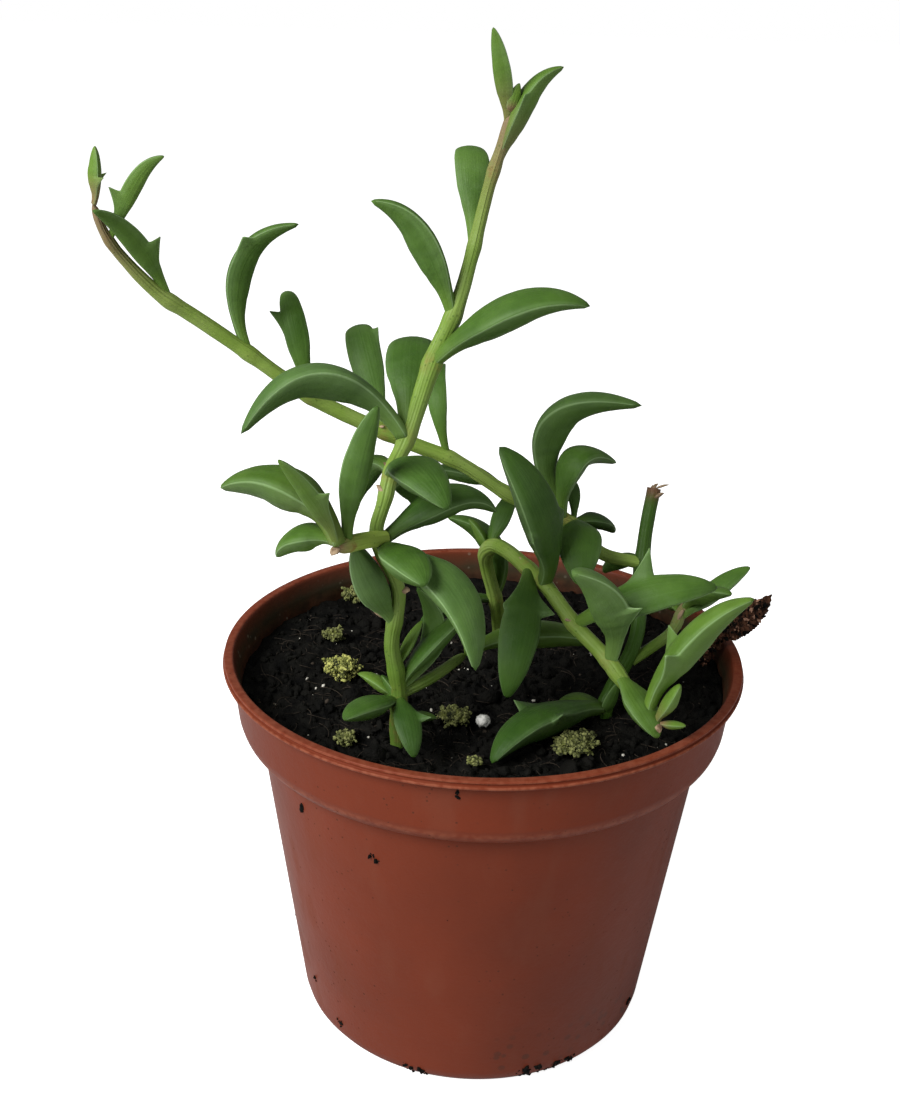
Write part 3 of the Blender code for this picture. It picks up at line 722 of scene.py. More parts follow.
def mark_wear_light_and_shade(mesh):
    """Marks wear and a painted highlight on the lip and the collar's step, and soil and painted shade on
    the inner wall.
    """
    rubbed_and_lit = mesh.attributes.new("rubbed_and_lit", "FLOAT", "POINT").data
    inside = mesh.attributes.new("inside", "FLOAT", "POINT").data
    step = POT_HEIGHT - COLLAR_DEPTH
    for vertex in mesh.vertices:
        height = vertex.co.z
        radius = vertex.co.xy.length
        at_lip = height > POT_HEIGHT - LIP_DEPTH and radius > RIM_RADIUS - 0.3 * MM
        on_top = height > POT_HEIGHT - 0.2 * MM
        at_step = abs(height - step - 1.2 * MM) < 0.5 * MM and radius > NECK_RADIUS + 1 * MM
        # Rubbed marks: wear and a painted highlight on the top ring, the lip's bead and the collar's step.
        rubbed_and_lit[vertex.index].value = 0.5 if on_top else 1.0 if at_lip else 0.6 if at_step else 0.0
        # Inside, above the soil, soil and painted shade darken the wall, fully from a little below the top.
        depth = (POT_HEIGHT - height) / SOILED_AND_SHADED_DEPTH
        facing = radius < collar_radius(height) - LIP_WALL / 2 and height > step + 4 * MM
        inside[vertex.index].value = min(1.0, depth) if facing else 0.0


def finish_piece(item, material, nodes):
    """Gives a piece its material and its place in the model, and hides the solids that it stands for."""
    if material:
        item.data.materials.clear()
        item.data.materials.append(material)
    item.data.shade_smooth()
    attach(item, "root")
    if nodes:
        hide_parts(*nodes)
    print(item.name, len(item.data.polygons), "faces")


pot = show("nursery_pot", turn("nursery_pot", rounded(pot_outline()), POT_STEPS))
drill(pot, DRAIN_CIRCLE, DRAIN_RADIUS, DRAIN_COUNT)
mark_wear_light_and_shade(pot.data)
finish_piece(pot, pot_plastic, ["pot"])
pot.data.set_sharp_from_angle(angle=SHARP_ANGLE)

# %% [markdown]
# ## The soil
# The peat fills the pot to a few millimetres under the lip. Its top is a low relief of long waves, with
# clods on them and crumbs on those. The waves are the ones that the solid has. Clods and crumbs come
# from fractal noise, which repeats the same shape at smaller and smaller sizes.

# %% Heap the soil
SOIL_LEVEL = 60 * MM
SOIL_WAVE = 0.45 * MM
SOIL_WAVES = ((210, 95, 0.4, 1.0), (-130, 240, 1.9, 1.0), (390, -170, 3.1, 0.7))
SOIL_RINGS = 110
SOIL_STEPS = 220
CLOD_HEIGHT = 0.75 * MM
CLOD_SCALE = 190
CRUMB_HEIGHT = 0.55 * MM
CRUMB_SCALE = 900
SOIL_GAP = 0.08 * MM
MOUND = Vector((31, 6)) * MM
MOUND_REACH = 13 * MM
MOUND_HEIGHT = 2.2 * MM


def soil_edge():
    return collar_radius(SOIL_LEVEL) - POT_WALL - SOIL_GAP


def soil_height(x, y):
    """Height of the waves, which the crumbs and stones also stand on."""
    relief = sum(share * math.sin(a * x + b * y + phase) for a, b, phase, share in SOIL_WAVES)
    fade = max(0.0, 1 - (math.hypot(x, y) / soil_edge()) ** 6)
    return SOIL_LEVEL + SOIL_WAVE * relief * fade


def clod_height(x, y):
    """What clods and crumbs add to the waves, and the mound beside the flake of bark."""
    place = Vector((x, y, 0))
    clods = noise.fractal(place * CLOD_SCALE, 0.8, 2.1, 3)
    crumbs = noise.fractal(place * CRUMB_SCALE, 0.7, 2.2, 4)
    mound = math.exp(-((Vector((x, y)) - MOUND).length / MOUND_REACH) ** 2)
    return CLOD_HEIGHT * clods + CRUMB_HEIGHT * crumbs + MOUND_HEIGHT * mound


def soil_outline():
    """Half of the soil's section, from the middle of its top to the middle of its underside."""
    ledge = POT_HEIGHT - COLLAR_DEPTH + 0.6 * MM
    wall = POT_WALL + SOIL_GAP
    top = [(soil_edge() * i / SOIL_RINGS, SOIL_LEVEL) for i in range(SOIL_RINGS + 1)]
    side = [
        (collar_radius(ledge) - wall, ledge + 1.2 * MM),
        (NECK_RADIUS - wall, ledge),
        (body_radius(3 * MM) - wall, 3 * MM),
        (body_radius(POT_WALL) - 3 * MM, POT_WALL + SOIL_GAP),
        (0, POT_WALL + SOIL_GAP),
    ]
    return [Vector(row) for row in top + side]


soil_mesh = turn("potting_soil", soil_outline(), SOIL_STEPS)
for vertex in soil_mesh.vertices:
    x, y, z = vertex.co
    if z > SOIL_LEVEL - 0.1 * MM:
        vertex.co.z = soil_height(x, y) + clod_height(x, y)
soil = show("potting_soil", soil_mesh)
finish_piece(soil, peat, ["soil"])

# %% [markdown]
# ## Crumbs, fibres and pale specks on the soil
# Thousands of crumbs would be slow to place by hand. This recipe scatters points over a mesh, sets a
# small rough stone on each, turned and squashed at random, and stores a random tint for its colour. A
# crumb that is repeated so often has only twenty faces.

# %% A recipe that scatters grains
GRAIN_DENTS = 0.8
GRAIN_DENT_SCALE = 1900


def random_between(tree, low, high, seed):
    kind = "FLOAT_VECTOR" if isinstance(low, tuple) else "FLOAT"
    return add_node(tree, "FunctionNodeRandomValue", data_type=kind, Min=low, Max=high, Seed=seed)


def scatter(tree, sizes, shape, turned, scaled, tint):
    """Copies of a shape on random points of the ground, each with a tint for its colour."""
    points = add_node(
        tree, "GeometryNodeDistributePointsOnFaces",
        Mesh=sizes["Geometry"], Density=sizes["Density"], Seed=sizes["Seed"],
    )
    placed = add_node(
        tree, "GeometryNodeInstanceOnPoints", Points=points, Instance=shape, Rotation=turned, Scale=scaled,
    )
    return store(tree, placed, "tint", tint, "INSTANCE")


def grain_recipe(name, material, faces_step=1):
    """Grains on a mesh: their number for each square metre, and their least and greatest size."""
    tree, sizes = new_recipe(
        name, {"Density": 1000.0, "Seed": 0, "Smallest": 0.2 * MM, "Largest": 0.5 * MM},
    )
    grain = add_node(tree, "GeometryNodeMeshIcoSphere", Radius=1, Subdivisions=faces_step)
    chance = random_between(tree, 0.0, 1.0, 3)
    size = sizes["Smallest"] + (sizes["Largest"] - sizes["Smallest"]) * chance**3
    scattered = scatter(
        tree, sizes, grain, random_between(tree, (0.0, 0.0, 0.0), (6.3, 6.3, 6.3), 1),
        random_between(tree, (0.5, 0.5, 0.35), (1.4, 1.0, 0.9), 2) * size,
        random_between(tree, 0.0, 1.0, 4),
    )
    real = add_node(tree, "GeometryNodeRealizeInstances", Geometry=scattered)
    here = add_node(tree, "GeometryNodeInputPosition")
    dents = add_node(tree, "ShaderNodeTexNoise", Vector=here, Scale=GRAIN_DENT_SCALE).other("Color")
    push = (dents - (0.5, 0.5, 0.5)) * (sizes["Largest"] * GRAIN_DENTS)
    end_recipe(tree, add_node(tree, "GeometryNodeSetPosition", Geometry=real, Offset=push), material)
    return tree


def strew(name, ground, recipe, grading, nodes):
    """Runs a grain recipe. The grading is density, seed, smallest and largest."""
    sizes = dict(zip(("Density", "Seed", "Smallest", "Largest"), grading))
    finish_piece(follow_recipe(name, ground, recipe, sizes), None, nodes)


def soil_top(name, reach):
    """A copy of the soil's top, out to a share of its radius, for grains to land on."""
    bm = bmesh.new()
    bm.from_mesh(soil.data)
    limit = soil_edge() * reach
    away = [face for face in bm.faces
            if face.calc_center_median().xy.length > limit or face.calc_center_median().z < 50 * MM]
    bmesh.ops.delete(bm, geom=away, context="FACES")
    return mesh_of(name, bm)


GRAINS = (
    ("peat_crumbs", peat, 1, (420000.0, 1, 0.25 * MM, 1.3 * MM), 0.97, "soil"),
    ("peat_clods", peat, 2, (26000.0, 2, 0.8 * MM, 2.6 * MM), 0.93, "soil"),
    ("pale_specks", pale_grain, 1, (16000.0, 6, 0.12 * MM, 0.5 * MM), 0.95, "perlite"),
    ("brown_bits", fibre, 1, (30000.0, 8, 0.15 * MM, 0.6 * MM), 0.96, "soil"),
)
for name, material, faces_step, grading, reach, slot in GRAINS:
    strew(name, soil_top(name, reach), grain_recipe(name, material, faces_step), grading, ["soil"])

# %% [markdown]
# ## Fibres in the peat
# Peat is half-rotted moss and sedge, so thin strands stick out of it everywhere. A strand is an arc of a
# few points swept with a triangle. Scattered flat on the soil and turned at random, a few hundred of
# them are enough to break up the crumbs.

# %% A recipe that scatters strands
STRAND_POINTS = 7


def strand_recipe(material):
    tree, sizes = new_recipe(
        "strands", {"Density": 1000.0, "Seed": 0, "Length": 5 * MM, "Thickness": 0.05 * MM, "Bow": 0.25},
    )
    line = add_node(
        tree, "GeometryNodeCurvePrimitiveLine", Start=(-0.5, 0.0, 0.0), End=(0.5, 0.0, 0.0),
    )
    steps = add_node(tree, "GeometryNodeResampleCurve", Curve=line, Count=STRAND_POINTS)
    x = add_node(tree, "GeometryNodeInputPosition").parts()[0]
    hump = 0.25 - x * x
    bowed = add_node(
        tree, "GeometryNodeSetPosition",
        Geometry=steps, Offset=vector_of(tree, 0, hump * sizes["Bow"] * 2, hump * 0.3),
    )
    triangle = add_node(tree, "GeometryNodeCurvePrimitiveCircle", Resolution=3, Radius=1)
    swept = add_node(
        tree, "GeometryNodeCurveToMesh", Curve=bowed, Profile_Curve=triangle,
        Scale=sizes["Thickness"] / sizes["Length"], Fill_Caps=True,
    )
    scattered = scatter(
        tree, sizes, swept, random_between(tree, (-0.35, -0.35, 0.0), (0.35, 0.35, 6.3), 1),
        random_between(tree, (0.3, 0.6, 0.6), (1.3, 1.2, 1.2), 2) * sizes["Length"],
        random_between(tree, 0.0, 1.0, 4) ** 3,
    )
    end_recipe(tree, scattered, material)
    return tree


strand_sizes = {"Density": 130000.0, "Seed": 3, "Length": 4.5 * MM, "Thickness": 0.06 * MM, "Bow": 0.5}
strands = follow_recipe("peat_strands", soil_top("strands", 0.9), strand_recipe(fibre), strand_sizes)
finish_piece(strands, None, ["soil"])

# %% [markdown]
# ## Moss crumbs and the bead of perlite
# Clods of dried moss lie on the peat. Each is a dark, dented core where the solid has it, covered by
# small scraps from the same grain recipe: pale yellow-green on one clod and duller on the others. The
# white bead is a grain of perlite, a puffed mineral that keeps potting soil loose. Both take their place
# and size from the solids' boxes.

# %% Moss and perlite
def lump(name, node, dent, fineness):
    """A ball that fills the box of a solid. Its dents have a depth and a fineness."""
    low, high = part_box(node)
    centre, half = (low + high) / 2, (high - low) / 2
    bm = bmesh.new()
    bmesh.ops.create_icosphere(bm, subdivisions=4, radius=1)
    for vertex in bm.verts:
        way = vertex.co.copy()
        rough = noise.fractal(way * fineness + centre * 1000, 0.8, 2.0, 4)
        vertex.co = Vector([way[k] * half[k] for k in range(3)]) * (1 + dent * (rough - 0.25)) + centre
    return show(name, mesh_of(name, bm))


PALE_CLODS = ("moss_crumb_3",)
MOSS_DENTS = (0.65, 2.6)
PERLITE_DENTS = (0.16, 1.8)
SCRAP_DENSITY = 7.5e6
pale_scraps = grain_recipe("pale scraps", moss_pale)
dull_scraps = grain_recipe("dull scraps", moss_dull)
crumbs = sorted(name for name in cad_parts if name.startswith("moss_crumb_"))
for number, node in enumerate(crumbs):
    core = lump(f"{node}_core", node, *MOSS_DENTS)
    scraps = pale_scraps if node in PALE_CLODS else dull_scraps
    ground = core.data.copy()
    grading = (SCRAP_DENSITY, number, 0.08 * MM, 0.46 * MM)
    finish_piece(core, moss_core, [node])
    strew(f"{node}_scraps", ground, scraps, grading, [node])
bead = lump("perlite_grain", "perlite_bead", *PERLITE_DENTS)
finish_piece(bead, perlite, ["perlite_bead"])

# %% [markdown]
# ## The flake of bark
# A rotten flake of bark is stuck in the soil's edge and leans out over the rim. It is a loft through
# rings that grow and shrink along a middle line, roughened by noise, with crumbs of peat, splinters and
# pale chips on it. Its middle line repeats the rows of the solid.

# %% Bark
BARK_FLAKE = (
    (36.6, 3, 61.0, 2.2, 1.4), (37.0, 3, 64.0, 2.8, 1.8), (38.2, 3, 67.0, 3.2, 2.0),
    (40.6, 3, 68.6, 4.2, 2.0), (42.8, 3, 69.9, 4.6, 2.0), (44.8, 3, 71.9, 3.6, 1.8),
    (46.2, 3, 73.3, 1.6, 1.2), (47.3, 3, 74.8, 0.6, 0.6),
)
BARK_RINGS = 48
BARK_SIDES = 28
BARK_ROUGHNESS = 0.6 * MM
BARK_COVERED = 0.86


def bark_mesh(share):
    """The flake, or only the lower share of it."""
    rows = np.array(BARK_FLAKE, dtype=float) * MM
    places = np.linspace(0, (len(rows) - 1) * share, BARK_RINGS)
    rings = [[np.interp(place, range(len(rows)), rows[:, k]) for k in range(5)] for place in places]
    bm = bmesh.new()
    loops = []
    for i, (x, y, z, width, thickness) in enumerate(rings):
        ahead = Vector(rings[min(i + 1, BARK_RINGS - 1)][:3]) - Vector(rings[max(i - 1, 0)][:3])
        back = Vector((0, 1, 0))
        across = ahead.normalized().cross(back)
        loop = []
        for k in range(BARK_SIDES):
            angle = TURN * k / BARK_SIDES
            out = across * (width / 2 * math.cos(angle)) + back * (thickness / 2 * math.sin(angle))
            point = Vector((x, y, z)) + out
            rough = noise.fractal(point * 900, 0.7, 2.1, 4)
            loop.append(bm.verts.new(point + out.normalized() * (BARK_ROUGHNESS * rough)))
        loops.append(loop)
    for a, b in zip(loops, loops[1:]):
        for k in range(BARK_SIDES):
            bm.faces.new((a[k], a[(k + 1) % BARK_SIDES], b[(k + 1) % BARK_SIDES], b[k]))
    bm.faces.new(loops[0])
    bm.faces.new(loops[-1])
    bmesh.ops.recalc_face_normals(bm, faces=bm.faces)
    return mesh_of("bark", bm)


bark_core = show("bark_flake_core", bark_mesh(1))
BARK_COVER = (
    ("bark_crumbs", bark, (3.5e6, 4, 0.15 * MM, 0.85 * MM)),
    ("bark_chips", bark_chips, (1.6e6, 9, 0.10 * MM, 0.60 * MM)),
    ("bark_peat", peat, (2.0e6, 12, 0.15 * MM, 0.80 * MM)),
)
for name, material, grading in BARK_COVER:
    strew(name, bark_mesh(BARK_COVERED), grain_recipe(name, material), grading, ["bark_flake"])
finish_piece(bark_core, bark, ["bark_flake"])

# %% [markdown]
# ## Dirt on the pot
# Splashes of peat have dried on the pot's wall, and a few wet crumbs cling to its foot. Each spot is a
# small patch of faces that touches the wall, and the grain recipe heaps its grains on those patches. A
# row is the spot's angle round the pot in degrees, its height and its radius in millimetres.

# %% Splashes and foot crumbs
DIRT_SPOTS = (
    (-140, 48.5, 0.7), (-116.5, 45.5, 0.9), (-95.5, 62.6, 0.6), (-137.5, 4.5, 0.9), (-111.5, 1.4, 1.5),
    (-106.0, 1.2, 1.3), (-73.5, 2.2, 1.3), (-68, 1.5, 1.8), (-62, 1.4, 1.6), (-57, 2.2, 1.0),
    (-28, 5.5, 0.7), (-98, 36, 0.3), (-176, 12.5, 0.5), (-150, 9, 0.5), (60, 3.0, 1.0), (131, 2.0, 1.1),
)
DIRT_SIDES = 8


def wall_radius(height):
    """Outer radius of the pot at a height, with its rounded foot."""
    foot = 3 * MM
    if height > POT_HEIGHT - COLLAR_DEPTH:
        return collar_radius(height)
    tuck = foot - math.sqrt(max(0.0, foot**2 - max(0.0, foot - height) ** 2))
    return body_radius(height) - tuck


def dirt_patches():
    bm = bmesh.new()
    for turned, height, radius in DIRT_SPOTS:
        angle = math.radians(turned)
        out = Vector((math.cos(angle), math.sin(angle), 0))
        across = Vector((-math.sin(angle), math.cos(angle), 0))
        ring = []
        for k in range(DIRT_SIDES):
            swing = TURN * k / DIRT_SIDES
            z = max(0.5 * MM, (height + radius * math.sin(swing)) * MM)
            ring.append(bm.verts.new(out * wall_radius(z) + across * (radius * math.cos(swing) * MM)
                                     + Vector((0, 0, z))))
        bm.faces.new(ring)
    return mesh_of("dirt patches", bm)


SPLASHES = (6.0e6, 5, 0.14 * MM, 0.75 * MM)
strew("dried_splashes", dirt_patches(), grain_recipe("splashes", peat), SPLASHES, [])

# %% [markdown]
# ## Where the stems run
# Three stems stand in the soil, and two of them fork. Each row below is a point on a stem's middle line,
# with its diameter, in millimetres. A smooth curve runs through the rows: between two points it starts
# and ends in the direction of their neighbours, which is the Catmull-Rom rule.

# %% Routes of the stems
TALL_STEM = (
    (-13, -24, 48, 2.4), (-13, -24, 69, 2.4), (-14, -25, 78, 2.3), (-13, -27, 87, 2.0),
    (-15, -30, 94, 2.1), (-16, -31, 98, 2.0), (-15, -30, 102, 2.0), (-14, -28, 106, 2.1),
    (-12, -25, 110, 2.3), (-9, -21, 119, 2.6), (-6, -19, 126, 2.3), (-4, -17, 133, 1.9),
    (-2, -16, 142, 1.7), (0, -16, 149, 1.5), (1, -16, 153, 1.0),
)
ROSETTE_SHOOT = ((-15, -31, 97, 2.2), (-18, -35, 98, 2.3), (-21, -40, 99, 1.7))
LOW_SHOOT = ((-13, -24, 69, 1.8), (-8, -20, 70, 1.8), (-3, -14, 71, 1.4))
ARCHING_STEM = (
    (3, 14, 48, 2.3), (3, 14, 60, 2.3), (3, 13.6, 62.5, 2.3), (2, 9, 70, 2.3), (0, 5, 79, 2.3),
    (1, 1, 83, 2.4), (3, -3, 84, 2.4), (6, -7, 83, 2.3), (9, -12, 82, 2.3), (13.2, -17, 78, 2.3),
    (17.4, -21, 75, 2.3), (20.4, -24, 72, 2.2), (24.8, -29, 68, 1.5),
)
RIGHT_TRUNK = (
    (19, -13, 48, 2.4), (19, -13, 60, 2.4), (20, -12, 64, 2.4), (23, -11, 71, 2.3), (24, -9, 75, 2.3),
    (24, -6, 79, 2.3), (24.5, -4, 83, 2.4), (25, -2, 88, 2.2), (26, 0, 94, 2.2),
)
LONG_BRANCH = (
    (24, -4.3, 83, 2.0), (18, -3, 84, 2.1), (13, -2, 88.5, 2.1), (4, -2, 92.5, 2.1), (-5, -3, 98.5, 2.2),
    (-13, -4, 102, 2.3), (-25, -6, 108, 2.3), (-31, -8, 112.5, 2.2), (-36, -9, 116.5, 2.2),
    (-43, -11, 122, 2.2), (-48, -13, 126, 2.0), (-52, -15, 131, 1.6), (-54, -17, 135, 1.3),
    (-55, -18, 139, 1.2),
)
RIGHT_TWIG = ((23, -11, 69, 1.8), (29, -9, 73, 1.7), (31, -7, 76, 1.6), (33, -6, 78, 1.3))
LEAF_ROUTE_STEP = 4 * MM
TUBE_STEP = 0.7 * MM


def smooth_route(points, spacing):
    """Rows of x, y, z and diameter, in metres, on a smooth curve through the given ones."""
    rows = [np.array(point, dtype=float) * MM for point in points]
    rows = [2 * rows[0] - rows[1]] + rows + [2 * rows[-1] - rows[-2]]
    route = []
    for a, b, c, d in zip(rows, rows[1:], rows[2:], rows[3:]):
        steps = max(1, round(np.linalg.norm((c - b)[:3]) / spacing))
        for i in range(steps):
            t = i / steps
            bend = (2 * a - 5 * b + 4 * c - d) * t**2 + (3 * b - a - 3 * c + d) * t**3
            route.append(b + 0.5 * ((c - a) * t + bend))
    route.append(rows[-2])
    return route


def distances(route):
    """How far along the route each of its points is."""
    steps = [np.linalg.norm((b - a)[:3]) for a, b in zip(route, route[1:])]
    return np.concatenate(([0.0], np.cumsum(steps)))


def point_along(route, distance):
    """The point at a distance from the start of a route."""
    places = distances(route)
    return Vector([np.interp(distance, places, [row[k] for row in route]) for k in range(3)])


print("tall stem:", round(distances(smooth_route(TALL_STEM, TUBE_STEP))[-1] / MM), "mm long")

# %% [markdown]
# ## How the leaves stand
# One row for each leaf: how far along its stem it grows, the compass direction and the rise of its
# straight line to the tip, its length, how far it arches, how the arch is rolled about that line, how
# plump it is, and the size, place and lopsidedness of its two fins, which make it look like a leaping
# dolphin. Then comes how far the bend of the arch moves towards the tip, then a value for shade and
# bloom: below 0 for a leaf in the thick of the plant, which gets painted shade, and above 0 for a pale
# one with much bloom, and last the blush, a red-brown flush at the leaf's root. Such a list is the plain
# way to state a plant whose leaves follow the light and not a rule.

# %% Leaves of each stem
Leaf = namedtuple(
    "Leaf",
    "along heading rise length arch roll plump fins fins_at fin_bias skew tone blush",
    defaults=(0.16, 0, 1.0, 0, 0.46, 0, 0, 0, 0),
)
TALL_STEM_LEAVES = (
    Leaf(15, 180, 74, 9.5, plump=0.9),
    Leaf(16, 16, 2, 6, tone=-0.6),
    Leaf(19.5, 165, 32, 7.5),
    Leaf(19.8, 233, 10, 12.5, 0.10, plump=1.2, skew=0.2, tone=-0.3),
    Leaf(20.5, 286, -25, 11, 0.15, plump=1.15, fins=1.3, fins_at=0.5, fin_bias=-1, tone=-0.7),
    Leaf(22, 40, 78, 16, 0.35, roll=180),
    Leaf(21.5, 20, 46, 17, 0.10, plump=0.9, tone=-0.2),
    Leaf(25, 40, 55, 8.5, 0.05, plump=0.7),
    Leaf(34, 236, 57, 17.8, 0.06, roll=90, plump=1.12, tone=0.35),
    Leaf(47.5, 313, -29, 21.8, 0.30, plump=1.18, skew=0.3, tone=0.2),
    Leaf(48.5, 294, 3, 15.5, 0.10, plump=1.4, skew=0.2),
    Leaf(49.5, 22, 8, 17.5, 0.26, roll=12, plump=1.2, skew=0.5, tone=-0.45),
    Leaf(57, 73, -29, 16, 0.20, tone=-0.5),
    Leaf(60, 114, -37, 21, 0.20, tone=-0.5),
    Leaf(59.5, 298, 3, 17, 0.20, roll=12, plump=1.35, tone=-0.35),
    Leaf(64.8, 200, 7, 23, 0.38, roll=10, plump=1.1, skew=0.2, tone=0.3),
    Leaf(65.5, 89, 15, 20.5, 0.30, plump=1.4, skew=0.4, tone=-0.35),
    Leaf(76, 355, 23, 23, 0.18, roll=18, plump=1.05, skew=0.4, tone=-0.12),
    Leaf(83, 194, 54, 19.5, 0.17, roll=12, skew=0.5),
    Leaf(93, 96, 25, 17, 0.38, plump=1.05, skew=0.7, tone=0.15),
    Leaf(103.5, 10, 56, 15.8, 0.14, plump=0.9, fins=0.5, fins_at=0.6, skew=0.6, blush=0.5),
    Leaf(109, 216, 77, 13, 0.06, plump=0.77, blush=0.6),
    Leaf(110, 330, 75, 5, 0.10, blush=2),
)
ROSETTE_SHOOT_LEAVES = (
    Leaf(9, 158, -19, 10.5, 0.28, roll=-12, plump=1.45),
    Leaf(8, 308, 72, 22, 0.08, plump=0.78, tone=-0.1),
    Leaf(10, 162, 19, 18, 0.31, plump=1.5, tone=-0.25, blush=0.15),
    Leaf(10.5, 228, 56, 17.5, 0.08, plump=0.65, fins=1.2, fins_at=0.52, blush=0.25),
)
LOW_SHOOT_LEAVES = (Leaf(14, 15, -1, 22),)
ARCHING_STEM_LEAVES = (
    Leaf(23, 205, -8, 14, tone=-0.6),
    Leaf(24, 188, 60, 17, 0.30, plump=1.1, fins=0.3),
    Leaf(35, 172, 62, 7),
    Leaf(36, 35, 56, 9, tone=-0.3),
    Leaf(38, 60, 45, 11, 0.10, tone=-0.3),
    Leaf(50, 257, -45, 21, 0.20, roll=-12, plump=1.12, fins=1.2, fins_at=0.38, fin_bias=-0.7, tone=-0.45),
    Leaf(54, 210, 69, 25, 0.17, roll=-68, plump=1.18, fins=0.9, fins_at=0.46, fin_bias=-0.7, tone=-0.45),
    Leaf(62.5, 355, 20, 22, roll=40, plump=1.05, fins=1.9, fins_at=0.56, fin_bias=-1, skew=0.2),
    Leaf(70.5, 229, 59, 21, 0.21, roll=-10, plump=1.25, fins=0.8, fin_bias=-0.6, tone=0.35),
    Leaf(72.5, 306, -34, 11.5, 0.08, plump=1.4, skew=0.3),
    Leaf(80, 350, 56, 24, 0.14, plump=0.97, fins=1.5, fins_at=0.43, skew=0.2),
    Leaf(85.5, 350, 66, 7.5, 0.05, roll=12, plump=1.05, blush=0.6),
    Leaf(87.5, 340, 8, 4.5, 0.05, plump=0.8, blush=1.3),
)
RIGHT_TRUNK_LEAVES = (
    Leaf(13, 190, 12, 8, 0.20, plump=1.4, tone=-0.6),
    Leaf(11.5, 300, 67, 9.5, 0.06, roll=20, plump=0.8, tone=-0.3),
    Leaf(13.5, 223, -1, 25, 0.15, roll=10, plump=1.12, fins=0.9, fins_at=0.55, skew=0.4, tone=-0.6),
    Leaf(38, 121, -30, 11),
)
LONG_BRANCH_LEAVES = (
    Leaf(12.8, 48, -22, 12.5, roll=15, plump=0.9, tone=-0.5),
    Leaf(12.5, 95, 25, 11, 0.20, roll=12, plump=0.7, tone=-0.5),
    Leaf(14.5, 28, 40, 12.5, 0.62, roll=12, plump=1.4, skew=0.3),
    Leaf(12, 270, -17, 14, 0.25, plump=1.75, tone=-0.2),
    Leaf(14.2, 334, 61, 23.5, 0.46, plump=1.15, skew=0.1, tone=0.15),
    Leaf(24.5, 154, 3, 14, tone=-0.4),
    Leaf(35.5, 95, 48, 16, 0.32, roll=-20, plump=0.7, skew=0.2),
    Leaf(
        46.2, 105, 27, 21, 0.31, roll=-16, plump=0.95, fins=0.5, fins_at=0.66, fin_bias=1, skew=0.7,
        tone=0.1,
    ),
    Leaf(59.2, 112, 47, 17.5, 0.25, roll=-15, plump=0.78, fins=1.5, fins_at=0.62, fin_bias=-1, skew=0.8),
    Leaf(70.3, 343, 67, 21, 0.30, plump=0.85, fins=0.8, fins_at=0.73, skew=0.2),
    Leaf(84.2, 227, 50, 18, 0.14, roll=25, plump=0.75, fins=1.4, fins_at=0.44, skew=0.2),
    Leaf(96.5, 337, 51, 15.2, 0.12, roll=-20, plump=0.68, fins=1.6, fins_at=0.42, skew=0.6),
    Leaf(101.8, 0, 85, 7.8, 0.07, roll=188, plump=0.87, fins=1.6, blush=0.9),
)
RIGHT_TWIG_LEAVES = (
    Leaf(10, 15, 35, 14.2, 0.05, roll=18, plump=0.9, skew=0.6),
    Leaf(11, 108, -5, 7, tone=-0.3),
    Leaf(12, 309, 33, 11),
)
PLANTS = {
    "tall_stem": (
        (TALL_STEM, TALL_STEM_LEAVES), (ROSETTE_SHOOT, ROSETTE_SHOOT_LEAVES), (LOW_SHOOT, LOW_SHOOT_LEAVES),
    ),
    "arching_stem": ((ARCHING_STEM, ARCHING_STEM_LEAVES),),
    "branching_stem": (
        (RIGHT_TRUNK, RIGHT_TRUNK_LEAVES), (LONG_BRANCH, LONG_BRANCH_LEAVES),
        (RIGHT_TWIG, RIGHT_TWIG_LEAVES),
    ),
}
for name, branches in PLANTS.items():
    print(name, sum(len(leaves) for route, leaves in branches), "leaves")

# %% [markdown]
# ## A recipe for stems
# A stem is a path with a thickness. The seed mesh is a chain of edges that carries the radius at each
# point, swollen where a leaf grows and closing to a dome at a growing tip. It carries the marks for the
# skin too: its age, with painted shade and light, where a leaf left a scar, which tips are flushed and
# which end is dry.
# The recipe turns the chain into a curve, sweeps a circle along it, welds the end caps and dents the
# tube a little, so that it doesn't look extruded.

# %% The stem recipe
STEM_SIDES = 18
NODE_SWELLING = 0.16
NODE_REACH = 1.3 * MM
TIP_DOME = 2.0 * MM
DRY_REACH = 1.6 * MM
OLD_HEIGHT = 62 * MM
YOUNG_HEIGHT = 96 * MM
FLUSHES = {TALL_STEM: 11 * MM, LONG_BRANCH: 12 * MM, RIGHT_TWIG: 4 * MM, ROSETTE_SHOOT: 2.5 * MM}
BROKEN_STEMS = (RIGHT_TRUNK,)
# Each stem's age: above 0 is old colour with painted shade towards the soil, the broken trunk most; below 0
# is young colour with painted light, the rosette shoot most.
STEM_AGES_AND_LIGHT = {
    TALL_STEM: 0.7, RIGHT_TRUNK: 1.15, ARCHING_STEM: -0.15, LONG_BRANCH: -0.15, ROSETTE_SHOOT: -0.9,
}

